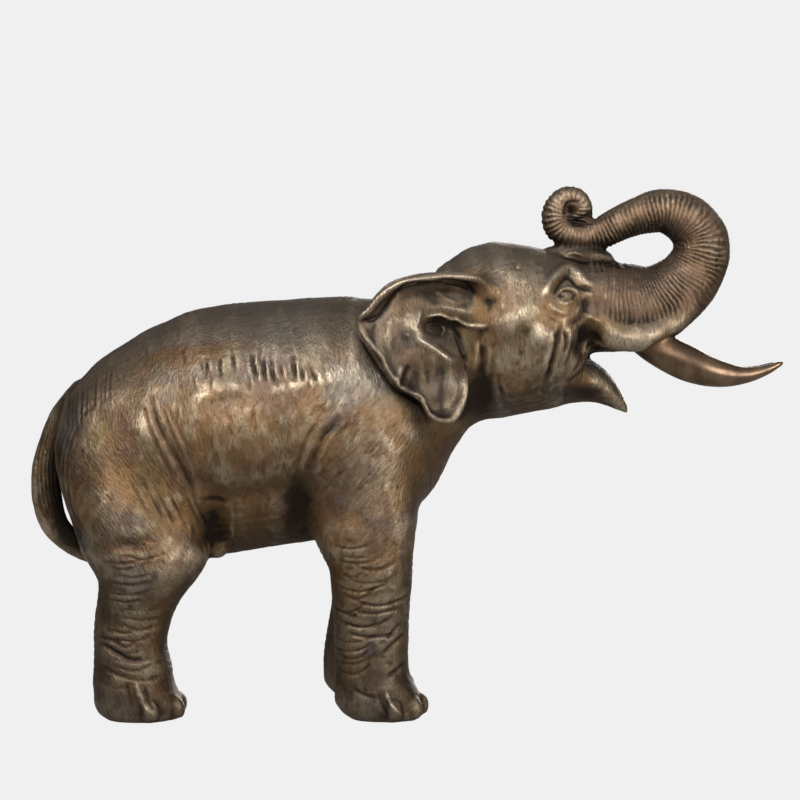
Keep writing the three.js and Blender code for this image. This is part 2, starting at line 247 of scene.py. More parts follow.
# ---- the view from the right side ------------------------------------------------------------
# Strokes and the ear's outline are laid out on the middle plane as they line up from the
# camera, and on_ray carries such a point out to the surface.
EYE = CAMERA_TARGET + CAMERA_DISTANCE * np.array(
    [0, -math.cos(CAMERA_ELEVATION), math.sin(CAMERA_ELEVATION)])


def on_ray(x, z, out):
    """The point out millimetres towards the camera that lines up with (x, z)."""
    flat = np.stack([x, 0 * x, z], -1)
    share = (-out - EYE[1]) / (0 - EYE[1])
    return EYE + (flat - EYE) * share[..., None]


def lined_up(p):
    """Where points line up on the middle plane; the left side is treated as the right one."""
    q = p.copy()
    q[:, 1] = -np.abs(q[:, 1])
    share = (0 - EYE[1]) / (q[:, 1] - EYE[1])
    return (EYE + (q - EYE) * share[:, None])[:, [0, 2]]


# ---- toes ------------------------------------------------------------------------------------
def ball(centre, reach, turn):
    """An ellipsoid, turned about the vertical."""
    down = np.linspace(0, math.pi, 14)[1:-1]
    round_ = np.linspace(0, 2 * math.pi, 20, endpoint=False)
    rings = np.stack([
        np.sin(down)[:, None] * np.cos(round_), np.sin(down)[:, None] * np.sin(round_),
        np.cos(down)[:, None] * np.ones(20)], -1)
    points, faces = skin(rings, np.array([0, 0, 1.0]), np.array([0, 0, -1.0]))
    points = points * reach
    c, s = math.cos(turn), math.sin(turn)
    points = points @ np.array([[c, s, 0], [-s, c, 0], [0, 0, 1]])
    return points + centre, faces


def toes(x, side, stance, radius, count):
    """(toe, nail) pairs in an arc round the front of a foot."""
    pairs = []
    for k in range(count):
        turn = math.radians(144) * (k / (count - 1) - 0.5)
        out = np.array([math.cos(turn), math.sin(turn), 0])
        centre = np.array([x, side * stance, 0])
        pairs.append((ball(centre + out * (radius - 7) + [0, 0, 10], (9, 7.6, 9.6), turn),
                      ball(centre + out * (radius - 0.6) + [0, 0, 8.4], (2.4, 5.2, 6), turn)))
    return pairs


# ---- ears ------------------------------------------------------------------------------------
EAR_ROOT = [(58, 337), (56, 324), (52, 311), (49, 297), (46, 284), (45, 271)]
EAR_RIM = [
    (61, 337), (57, 342), (50, 345), (38, 346), (26, 346), (10, 344), (-2, 341), (-14, 336), (-23, 328),
    (-31, 319), (-36, 315), (-40, 311), (-38, 303), (-33, 295), (-28, 289), (-21, 281), (-17, 272),
    (-12, 265), (-5, 257), (2, 253), (11, 247), (15, 240), (19, 234), (24, 231), (35, 231), (39, 235),
    (43, 243), (46, 253), (46, 263), (45, 269),
]
# How far the ear stands out from the middle plane at a few points of it: (x, z, out).
EAR_RELIEF = [
    (61, 338, 53), (50, 345, 64), (38, 346, 68), (26, 346, 71), (10, 344, 75), (-2, 341, 78),
    (-14, 336, 80), (-23, 328, 82), (-36, 314, 84), (-40, 311, 82), (-37, 302, 83), (-33, 295, 85),
    (-28, 289, 86), (-21, 281, 86), (-17, 272, 86), (-12, 265, 86), (-5, 257, 87), (2, 253, 82),
    (11, 247, 82), (15, 240, 82), (24, 231, 81), (35, 231, 78), (40, 236, 76), (44, 244, 74),
    (46, 254, 72), (46, 264, 67), (45, 270, 60),
    (58, 330, 49), (56, 322, 49), (52, 311, 52), (49, 297, 52), (46, 284, 55),
    (30, 334, 60), (45, 333, 55), (14, 332, 66), (-2, 328, 72), (-16, 320, 76), (-26, 311, 79),
    (10, 316, 71), (32, 322, 63), (44, 318, 60), (-8, 312, 79), (-15, 297, 83), (-14, 285, 83),
    (-7, 265, 84), (0, 296, 75), (4, 285, 76), (2, 273, 76), (-1, 262, 79), (8, 302, 76),
    (8, 290, 76), (20, 305, 62), (31, 302, 56), (38, 296, 55), (22, 292, 74), (36, 278, 71),
    (14, 272, 75), (26, 271, 72), (36, 264, 71), (18, 254, 76), (26, 250, 73), (34, 247, 74),
    (30, 238, 76),
]


def relief(points, at):
    """A smooth surface through scattered (x, z, height) points: thin-plate interpolation."""
    known = np.array(points, float)

    def bend(a, b):
        r2 = ((a[:, None] - b[None]) ** 2).sum(-1) + 1e-9
        return 0.5 * r2 * np.log(r2)

    size = len(known)
    flat = np.hstack([np.ones((size, 1)), known[:, :2]])
    system = np.zeros((size + 3, size + 3))
    system[:size, :size] = bend(known[:, :2], known[:, :2]) + 4 * np.eye(size)
    system[:size, size:] = flat
    system[size:, :size] = flat.T
    weights = np.linalg.solve(system, np.concatenate([known[:, 2], np.zeros(3)]))
    spots = at.reshape(-1, 2)
    found = bend(spots, known[:, :2]) @ weights[:size]
    found += np.hstack([np.ones((len(spots), 1)), spots]) @ weights[size:]
    return found.reshape(at.shape[:-1])


def ear(side):
    """The leaf of an ear and the rolled bead along its rim."""
    rows, columns = 120, 26
    root = spline(EAR_ROOT, rows)
    rim = spline(EAR_RIM, rows)
    across = np.linspace(0, 1, columns + 1)
    flat = root[:, None] + (rim - root)[:, None] * across[None, :, None]
    out = relief(EAR_RELIEF, flat)
    half = 2.3 - 0.7 * across ** 2
    near = on_ray(flat[..., 0], flat[..., 1], out + half)
    far = on_ray(flat[..., 0], flat[..., 1], out - half)
    drop = LEFT_EAR_DROP * across * np.clip(1 - 2 * np.linspace(0, 1, rows + 1), 0, 1)[:, None]
    for layer in (near, far):
        layer[..., 1] *= -side
        if side == LEFT:
            layer[..., 2] -= drop
    wide = columns + 1
    back = wide * (rows + 1)
    points = np.vstack([near.reshape(-1, 3), far.reshape(-1, 3)])
    i, j = np.meshgrid(np.arange(rows), np.arange(columns), indexing="ij")
    a = (i * wide + j).ravel()
    quads = [np.stack([a, a + 1, a + wide + 1, a + wide], -1)]
    quads.append(back + quads[0][:, ::-1])
    edge = np.concatenate([
        np.arange(0, wide - 1), wide - 1 + wide * np.arange(rows),
        back - 1 - np.arange(wide - 1), wide * (rows - np.arange(rows)),
    ])
    after = np.roll(edge, -1)
    quads.append(np.stack([edge, back + edge, back + after, after], -1))
    quads = np.vstack(quads)
    faces = np.vstack([quads[:, [0, 1, 2]], quads[:, [0, 2, 3]]])
    t = np.linspace(0, 1, rows + 1)
    thick = 1.9 + 1.7 * np.exp(-((t - 0.17) / 0.17) ** 2) + 0.9 * np.exp(-((t - 0.85) / 0.14) ** 2)
    middle = (near[:, -1] + far[:, -1]) / 2
    middle[:, 1] += side * 0.9
    stations = [(*middle[k], thick[k], thick[k]) for k in range(0, rows + 1, 2)]
    return (points, faces), loft(stations, 110, 10, (1.5, 1.5))


# ---- distance fields -------------------------------------------------------------------------
class Field:
    """Signed distances on a block of the shared grid, cut off at FAR millimetres."""

    def __init__(self, low, values):
        self.low = low
        self.values = values

    def at(self, p):
        """The field at points, straight-line interpolated, FAR outside the block."""
        spot = p / VOXEL - self.low
        top = np.array(self.values.shape) - 1
        inside = ((spot >= 0) & (spot < top)).all(1)
        found = np.full(len(p), FAR)
        spot = spot[inside]
        base = spot.astype(int)
        part = spot - base
        total = 0
        for corner in np.ndindex(2, 2, 2):
            weight = np.prod(np.where(corner, part, 1 - part), 1)
            total = total + weight * self.values[tuple((base + corner).T)]
        found[inside] = total
        return found


FAR = VOXEL * BAND
GRID_LOW = np.floor(np.array([-312, -102, -14]) / VOXEL).astype(int)
GRID_HIGH = np.ceil(np.array([312, 102, 430]) / VOXEL).astype(int)


def field_of(mesh, whole=False):
    points, faces = mesh
    corners = points[faces]
    if (corners[:, 0] * np.cross(corners[:, 1], corners[:, 2])).sum() < 0:
        faces = faces[:, ::-1]
    grid = vdb.FloatGrid.createLevelSetFromPolygons(
        points.astype(np.float32), triangles=faces.astype(np.uint32),
        transform=vdb.createLinearTransform(voxelSize=VOXEL), halfWidth=BAND)
    low, high = GRID_LOW, GRID_HIGH
    if not whole:
        low = np.maximum(low, np.floor(points.min(0) / VOXEL).astype(int) - BAND)
        high = np.minimum(high, np.ceil(points.max(0) / VOXEL).astype(int) + BAND)
    values = np.full(tuple(high - low + 1), FAR, np.float32)
    grid.copyToArray(values, ijk=tuple(int(v) for v in low))
    return Field(low, values)


def join(whole, part, soft):
    """Adds part to whole with a fillet about soft millimetres wide, a number or one per cell."""
    start = part.low - whole.low
    block = tuple(slice(s, s + n) for s, n in zip(start, part.values.shape))
    a, b = whole.values[block], part.values
    h = np.clip(0.5 + 0.5 * (b - a) / np.maximum(soft, 1e-3), 0, 1)
    whole.values[block] = np.minimum(b + (a - b) * h - soft * h * (1 - h), FAR)


def body_fields():
    whole = Field(GRID_LOW, np.full(tuple(GRID_HIGH - GRID_LOW + 1), FAR, np.float32))
    named = {}

    def add(name, mesh, soft):
        part = field_of(mesh)
        named.setdefault(name, []).append(part)
        join(whole, part, soft)

    add("torso", loft(TORSO, 60, 72, (10, 20)), 0)
    for side in (LEFT, RIGHT):
        front = standing(FORELEG, side, FRONT_STANCE, FRONT_STAGGER, 1)
        rear = standing(HINDLEG, side, REAR_STANCE, REAR_STAGGER, LEFT_HIND_FOOT)
        add("foreleg", loft(front, 70, 56, (0, 22), 0.84), 15)
        add("hindleg", loft(rear, 70, 56, (0, 16), 0.9), 15)
    for side in (LEFT, RIGHT):
        back = side == LEFT
        for toe, nail in (
                toes(-21 - FRONT_STAGGER * back, side, FRONT_STANCE, 35.5, 5)
                + toes(-210 - REAR_STAGGER * back, side, REAR_STANCE, 31 if back else 35.5, 4)):
            add("toe", toe, 1.5)
            add("nail", nail, 0.6)
        add("flap", ball((-150, side * 36, 134), (9, 10, 10), 0), 6)
    add("head", loft(HEAD, 50, 64, (16, 6)), 14)
    add("jaw", loft(JAW, 40, 40, (10, 2.5)), 7)
    add("trunk", loft(TRUNK, 240, 44, (8, 3)), 8)
    add("web", loft(FOREHEAD, 20, 24, (5, 4)), 4)
    add("tail", loft(TAIL, 60, 28, (6, 3)), 5)
    for side in (LEFT, RIGHT):
        add("sheath", loft(mirrored(SHEATH, side), 40, 28, (6, 4)), 9)
        add("tusk", loft(tusk_stations(side), 60, 28, (6, 1.5)), 1.6)
        leaf, bead = ear(side)
        whole_ear = field_of(leaf)
        join(whole_ear, trimmed(field_of(bead), whole_ear), 2.5)
        named.setdefault("ear", []).append(whole_ear)
        size = whole_ear.values.shape
        forward = smoothstep((whole_ear.low[0] + np.arange(size[0])) * VOXEL, 30, 56)
        above = smoothstep((whole_ear.low[2] + np.arange(size[2])) * VOXEL, 285, 312)
        soft = 3 + 14 * forward[:, None, None] * above
        join(whole, whole_ear, soft.astype(np.float32))
    return whole, named


def trimmed(part, block):
    """part cut down to the block's extent."""
    low = np.maximum(part.low, block.low)
    high = np.minimum(part.low + part.values.shape, block.low + block.values.shape)
    cut = tuple(slice(a, b) for a, b in zip(low - part.low, high - part.low))
    return Field(low, part.values[cut])


# ---- mesh helpers ----------------------------------------------------------------------------
class Sheet:
    """A mesh as arrays: points in millimetres and faces of three or four corners."""

    def __init__(self, name, points, quads, triangles):
        self.mesh = bpy.data.meshes.new(name)
        corners = np.concatenate([quads.ravel(), triangles.ravel()]).astype(np.int32)
        sizes = np.concatenate([np.full(len(quads), 4), np.full(len(triangles), 3)])
        self.mesh.vertices.add(len(points))
        self.mesh.loops.add(len(corners))
        self.mesh.polygons.add(len(sizes))
        self.mesh.vertices.foreach_set("co", points.astype(np.float32).ravel())
        self.mesh.loops.foreach_set("vertex_index", corners)
        starts = np.concatenate([[0], np.cumsum(sizes)[:-1]]).astype(np.int32)
        self.mesh.polygons.foreach_set("loop_start", starts)
        self.mesh.update(calc_edges=True)
        self.mesh.validate()


def vertices_of(mesh):
    found = np.empty(len(mesh.vertices) * 3, np.float32)
    mesh.vertices.foreach_get("co", found)
    return found.reshape(-1, 3).astype(float)


def normals_of(mesh):
    found = np.empty(len(mesh.vertices) * 3, np.float32)
    mesh.vertex_normals.foreach_get("vector", found)
    return found.reshape(-1, 3).astype(float)


def edges_of(mesh):
    found = np.empty(len(mesh.edges) * 2, np.int32)
    mesh.edges.foreach_get("vertices", found)
    return found.reshape(-1, 2)


def relaxed(values, edges, rounds, amount=0.5):
    """values averaged with their neighbours', rounds times."""
    count = len(values)
    a, b = edges.T
    degree = np.bincount(a, minlength=count) + np.bincount(b, minlength=count)
    degree = np.maximum(degree, 1)
    values = values.copy()
    flat = values.reshape(count, -1)
    for _ in range(rounds):
        for c in range(flat.shape[1]):
            total = np.bincount(a, flat[b, c], count) + np.bincount(b, flat[a, c], count)
            flat[:, c] += amount * (total / degree - flat[:, c])
    return values


def place(mesh, points):
    mesh.vertices.foreach_set("co", points.astype(np.float32).ravel())
    mesh.update()


# ---- sculpting -------------------------------------------------------------------------------
def waves(p, wavelength, count, seed):
    """Smooth random lumps between about -1 and 1, the given wavelength apart."""
    own = np.random.default_rng(seed)
    total = np.zeros(len(p))
    for _ in range(count):
        direction = own.normal(size=3)
        direction /= np.linalg.norm(direction)
        pace = 2 * math.pi / (wavelength * own.uniform(0.7, 1.5))
        total += np.sin(p @ direction * pace + own.uniform(0, 2 * math.pi))
    return total / math.sqrt(count)


class Clay:
    """The skin being worked: strokes push its points along their normals."""

    def __init__(self, points, normals, named):
        self.p = points
        self.n = normals
        self.u = lined_up(points)
        self.push = np.zeros(len(points))
        self.stain = np.zeros(len(points))
        self.tint = np.zeros(len(points))
        self.facing = smoothstep(np.abs(normals[:, 1]), 0.12, 0.5)
        self.near = {}
        for name, fields in named.items():
            distance = np.min([f.at(points) for f in fields], axis=0)
            self.near[name] = 1 - smoothstep(distance, 0.8, 4)
        self.on_ear = self.near["ear"]

    def where(self, low, high, ear):
        u = self.u
        inside = (u[:, 0] > low[0]) & (u[:, 0] < high[0]) & (u[:, 1] > low[1]) & (u[:, 1] < high[1])
        keep = (self.on_ear if ear else 1 - self.on_ear) > 0.02
        return np.nonzero(inside & keep & (self.facing > 0))[0]

    def weight(self, i, ear):
        on = self.on_ear[i]
        return self.facing[i] * (on if ear else 1 - on)

    def stroke(self, points, width, height, ear=False, taper=0.25, stain=0.0):
        """A ridge, or with a negative height a groove, along points; a positive stain value darkens it with
        patina or painted shade, a negative one paints a highlight on it.
        """
        line = spline(points, max(4, 6 * (len(points) - 1))) if len(points) > 2 else np.array(points, float)
        reach = 3.2 * width
        i = self.where(line.min(0) - reach, line.max(0) + reach, ear)
        if not len(i):
            return
        u = self.u[i]
        best = np.full(len(i), 1e9)
        along = np.zeros(len(i))
        lengths = np.linalg.norm(np.diff(line, axis=0), axis=1)
        total = lengths.sum()
        passed = 0.0
        for a, b, length in zip(line[:-1], line[1:], lengths):
            t = np.clip(((u - a) @ (b - a)) / (length ** 2 + 1e-9), 0, 1)
            d = np.linalg.norm(u - a - t[:, None] * (b - a), axis=1)
            closer = d < best
            best[closer] = d[closer]
            along[closer] = (passed + t[closer] * length) / total
            passed += length
        ends = smoothstep(np.minimum(along, 1 - along), -0.02, taper)
        profile = np.exp(-((best / width) ** 2)) * ends * self.weight(i, ear)
        self.push[i] += height * profile
        self.stain[i] += stain * profile

    def fold(self, points, width, depth, ear=False, lip=0.45, taper=0.25):
        """A crease with skin swelling on both sides of it."""
        self.stroke(points, width, -depth * (1 + lip), ear, taper)
        self.stroke(points, width * 2.2, depth * lip, ear, taper)

    def dent(self, centre, reach, height, turn=0.0, ear=False, stain=0.0):
        """A round hollow or swelling, reach being its two half sizes; a positive stain value darkens it
        with patina or painted shade, a negative one paints a highlight on it.
        """
        reach = np.array(reach, float)
        size = 2.4 * reach.max()
        i = self.where(np.array(centre) - size, np.array(centre) + size, ear)
        c, s = math.cos(math.radians(turn)), math.sin(math.radians(turn))
        d = (self.u[i] - centre) @ np.array([[c, -s], [s, c]])
        profile = np.exp(-((d / reach) ** 2).sum(1)) * self.weight(i, ear)
        self.push[i] += height * profile
        self.stain[i] += stain * profile

    def strokes(self, rows, ear=False):
        """Round strokes, one a row: from, to, bow, width, height and stain, which is patina or painted
        shade where positive and painted highlight where negative.
        """
        for start, end, bow, width, height, stain in rows:
            self.stroke(arc(start, end, bow), width, height, ear, stain=stain)

    def dents(self, rows, ear=False):
        """Hollows and swellings, one a row: centre, two half sizes, height and stain, which is patina or
        painted shade where positive and painted highlight where negative.
        """
        for centre, reach, height, stain in rows:
            self.dent(centre, reach, height, ear=ear, stain=stain)

    def warm(self, centre, reach, amount, turn=0.0):
        """A soft patch where the patina turns rusty, or with a negative amount slate grey."""
        c, s = math.cos(math.radians(turn)), math.sin(math.radians(turn))
        d = (self.u - centre) @ np.array([[c, -s], [s, c]])
        self.tint += amount * np.exp(-((d / reach) ** 2).sum(1))


def patina_zones(clay):
    for centre, reach, amount, turn in (
            # flank, hip and shoulder
            ((-170, 284), (58, 11), 1.0, 8), ((-146, 221), (44, 22), 0.7, 0),
            ((-222, 226), (18, 34), 0.8, -10), ((-200, 186), (22, 24), 0.6, 0),
            ((-10, 207), (18, 28), 0.7, 0), ((-38, 262), (24, 20), -1.6, 0),
            ((-110, 316), (90, 16), -0.5, 0), ((-60, 225), (16, 26), -0.5, 30),
            # ear
            ((-4, 319), (16, 15), 1.1, 0), ((-18, 292), (7, 16), 0.9, 0), ((26, 262), (16, 22), -0.6, 0),
            # head and trunk
            ((64, 284), (9, 26), 0.7, 0), ((56, 347), (16, 10), 0.7, 0), ((108, 276), (26, 14), 0.7, 0),
            ((84, 338), (18, 20), -0.5, 0), ((150, 324), (16, 14), -0.7, 0),
            # legs
            ((-220, 50), (26, 40), -0.3, 0), ((-30, 110), (26, 30), 0.3, 0)):
        clay.warm(centre, reach, amount, turn)


def sculpt_head(clay):
    # brow with a painted highlight, and the groove under it
    clay.stroke([(106, 325), (114, 342), (127, 352), (137, 347), (146, 338)], 3.0, 2.9, stain=-0.4)
    clay.stroke([(115, 328), (120, 338), (127, 345), (137, 338), (153, 335)], 1.9, -1.9, stain=0.6)
    # eye: its mound and ball, then lids, corners and bags
    clay.dents((
        ((123, 325), (10, 9), 1.3, 0.1),
        ((127, 331), (2.4, 2.6), 0.9, 0.1),
        ((127.5, 331.5), (0.9, 1.0), 0, -0.5)))
    clay.strokes((
        ((116, 326), (139, 331), 8, 1.1, 1.1, -0.25),
        ((116, 326), (134, 331), 5.5, 0.7, -0.9, 0.5),
        ((119, 325), (133, 328), -2, 1.0, 0.8, -0.2),
        ((120, 328), (123, 328), 2.5, 1.4, -0.9, 0.7),
        ((132, 332), (130, 327), 1, 0.9, -0.7, 0.6),
        ((112, 325), (125, 316), -1.5, 1.3, 0.6, -0.15),
        ((137, 323), (134, 317), 1, 1.1, 0.6, -0.15),
        ((112, 319), (130, 316), -3.5, 1.1, -0.5, 0.3),
        ((109, 317), (122, 309), -1.5, 1.2, -0.6, 0.35),
        ((141, 332), (126, 307), 8, 3.2, -1.2, 0.5)))
    # the sunk plane in front of the eye, and the deep hollow over the corner of the mouth with painted
    # shade in it
    clay.dents((
        ((147, 325), (12, 9), -2.6, 0.3),
        ((158, 329), (1.4, 3.5), 0.8, -0.4),
        ((146, 296), (8.6, 10.5), -6.5, 0.75),
        ((139, 287), (7, 7), -3.4, 0.5)))
    clay.strokes((
        ((140, 317), (155, 309), -0.5, 1.6, 0.8, -0.3),
        ((142, 309), (146, 281), -3.5, 3.2, -1.2, 0.45)))
    # cheekbone with a painted highlight, jaw with painted shade along its bottom, and the creases running
    # down between them
    clay.dents((
        ((104, 300), (7, 8), 1.4, -0.5),
        ((94, 301), (8.5, 4.5), -0.8, 0.15),
        ((133, 277), (7, 7), 1.2, 0),
        ((142, 252), (14, 7), -1.5, 0.7),
        ((118, 252), (34, 8), 0, 0.35)))
    clay.strokes((
        ((123, 311), (109, 257), 1, 2.0, -1.9, 0.6),
        ((114, 305), (106, 269), 3, 3.2, 1.0, -0.15),
        ((128, 308), (123, 277), 4, 2.2, 0.7, 0),
        ((123, 303), (124, 284), 3, 1.0, -0.9, 0.5),
        ((133, 295), (125, 274), 0.5, 1.1, -0.9, 0.4),
        ((145, 286), (132, 270), -1, 1.3, -1.0, 0.4),
        ((142, 274), (126, 261), 1, 1.2, -0.8, 0.4),
        ((149, 276), (171, 245), 2, 3.2, 0, 0.5)))
    # ridge from the brow back to the opening of the ear
    clay.strokes((((110, 325), (62, 309), 4, 6.5, 0.8, -0.05),))
    clay.stroke([(66, 307), (57, 306), (47, 307), (38, 312), (34, 312)], 1.5, 1.6, stain=-0.3)
    # painted highlight on the temple and the lower cheek
    clay.dents((
        ((82, 348), (26, 16), 0, -0.2),
        ((90, 322), (16, 10), 0, 0.1),
        ((80, 291), (20, 10), -1.0, 0),
        ((83, 278), (26, 22), 0, -0.24)))
    # creases of the neck behind the cheek
    clay.strokes((
        ((58, 293), (57, 265), 1.5, 2.1, -1.3, 0.45),
        ((56, 295), (52, 269), 0.5, 1.6, 1.1, -0.2),
        ((65, 291), (62, 263), 1, 1.8, 0.9, 0),
        ((72, 269), (78, 247), -1.5, 1.6, -0.8, 0.3)))
    # painted shadow of the ear's lobe on the neck
    clay.dents((
        ((57, 250), (9, 17), -2.0, 1.1),
        ((62, 258), (9, 18), 0, 0.7)))
    # bump where the trunk's tip rests, and painted shade round it and along the inside of the loop
    clay.strokes((
        ((124, 361), (141, 360), 4, 1.6, 1.4, 0),
        ((147, 358), (205, 356), -2.5, 2.8, 0, 1.1)))
    clay.dents((((147, 366), (17, 6.5), 0, 1.0),))
    # temple and cheek: short chisel marks
    for count, across, height, longest, lean, deepest, narrow in (
            (120, (58, 112), (318, 364), 10, (-3, 3), -0.36, 0.8),
            (70, (62, 130), (252, 305), 9, (-5, 1), -0.4, 0.9)):
        for _ in range(count):
            x = rng.uniform(*across)
            z = rng.uniform(*height)
            length = rng.uniform(4, longest)
            foot = (x + rng.uniform(*lean), z - length)
            cut = rng.uniform(deepest, 0.3)
            clay.stroke([(x, z), foot], rng.uniform(narrow, narrow + 0.5), cut, stain=-0.35 * cut)


def sculpt_ears(clay):
    ear = True
    # the rolled rim with a painted highlight, and the groove under it with painted shadow
    clay.stroke([(-38, 312), (-30, 311), (-23, 314), (-11, 330), (-3, 338), (7, 340), (24, 341)],
                1.8, -1.9, ear, stain=0.75)
    clay.stroke([(19, 341), (35, 341), (48, 336), (56, 325)], 2.6, -2.2, ear, stain=0.6)
    clay.stroke([(-38, 314), (-24, 329), (-5, 341), (18, 344), (40, 345), (50, 342), (58, 335)],
                2.2, 0.9, ear, stain=-0.3)
    clay.dents((
        ((34, 331), (19, 8), -0.8, 0.5),
        ((2, 260), (6, 9), 0, 0.35),
        ((14, 330), (12, 5), 0, 0.25)), ear)
    clay.dent((44, 284), (7, 16), -0.5, turn=20, ear=ear, stain=0.4)
    # the back panel and its pointed fold
    clay.dents((((-30, 299), (5, 7), -0.7, 0.2),), ear)
    clay.strokes((
        ((-37, 311), (-24, 314), -2, 1.5, -1.2, 0.6),
        ((-37, 308), (-26, 289), -0.5, 1.4, 0.6, -0.3),
        ((-26, 311), (-24, 291), -2, 2.8, -0.9, 0.25),
        ((-13, 316), (-15, 283), -2, 3.0, 1.3, -0.05),
        ((-20, 291), (-11, 271), 0, 1.8, -0.6, 0.2),
        ((-5.5, 276), (-9, 261), 1, 2.0, 1.5, -0.45),
        ((1, 277), (-7, 255), 1, 1.6, -1.4, 0.45),
        ((-3, 327), (-6, 293), 0, 3.0, -0.6, 0.15)), ear)
    # the pale middle and the folds round the opening
    clay.dents((
        ((2, 301), (11, 15), 0.9, -0.5),
        ((27, 262), (16, 20), 0, 0.1),
        ((18, 305), (4, 2.6), -0.9, 0.3),
        ((51, 317), (7, 4), 0.6, -0.3)), ear)
    clay.dent((23, 304), (9, 5.5), -3.0, turn=-18, ear=ear, stain=0.75)
    clay.stroke([(13, 313), (25, 315.5), (34, 312), (38, 312), (47, 307), (64, 306)],
                1.2, 1.9, ear, taper=0.12, stain=-0.5)
    clay.strokes((
        ((10, 321), (6, 306), 1, 1.4, 0.7, -0.35),
        ((35, 306), (48, 274), 1, 1.8, -2.0, 0.6),
        ((27, 306), (26, 300), 3, 0.9, 1.1, -0.4),
        ((5, 297), (37, 276), 1, 2.4, 1.8, -0.35),
        ((24, 293), (39, 280), 0.5, 1.8, -0.9, 0.2),
        ((13, 327), (53, 324), -2.5, 1.9, -0.7, 0.2),
        ((21, 333), (38, 325), 0, 1.7, 0.9, 0)), ear)
    # the lobe: streaks down it, its rolled edge and the hollow inside that edge
    clay.strokes((
        ((19, 285), (18, 263), 1.5, 2.0, 0.6, -0.2),
        ((10, 282), (12, 260), -0.5, 2.2, 0.5, -0.15),
        ((14, 285), (18, 253), -1, 1.8, -0.35, 0.1),
        ((26, 281), (26, 252), 1.5, 2.0, -0.4, 0.1),
        ((34, 274), (32, 252), 1, 2.0, 0.55, -0.15),
        ((6, 251), (21, 235), 1.5, 1.2, -1.3, 0.6),
        ((4, 254), (17, 237), 2.5, 1.6, 0.9, -0.45),
        ((40, 269), (32, 238), 5, 1.9, -1.0, 0.25)), ear)
    clay.dents((((32, 241), (7, 7), 0.4, -0.3),), ear)
    # short strokes over the whole ear
    for _ in range(130):
        x = rng.uniform(-35, 50)
        z = rng.uniform(236, 338)
        cut = rng.uniform(-0.22, 0.25)
        clay.stroke([(x, z), (x + rng.uniform(-3, 3), z - rng.uniform(4, 10))], rng.uniform(0.9, 1.5),
                    cut, ear, stain=-0.3 * cut)


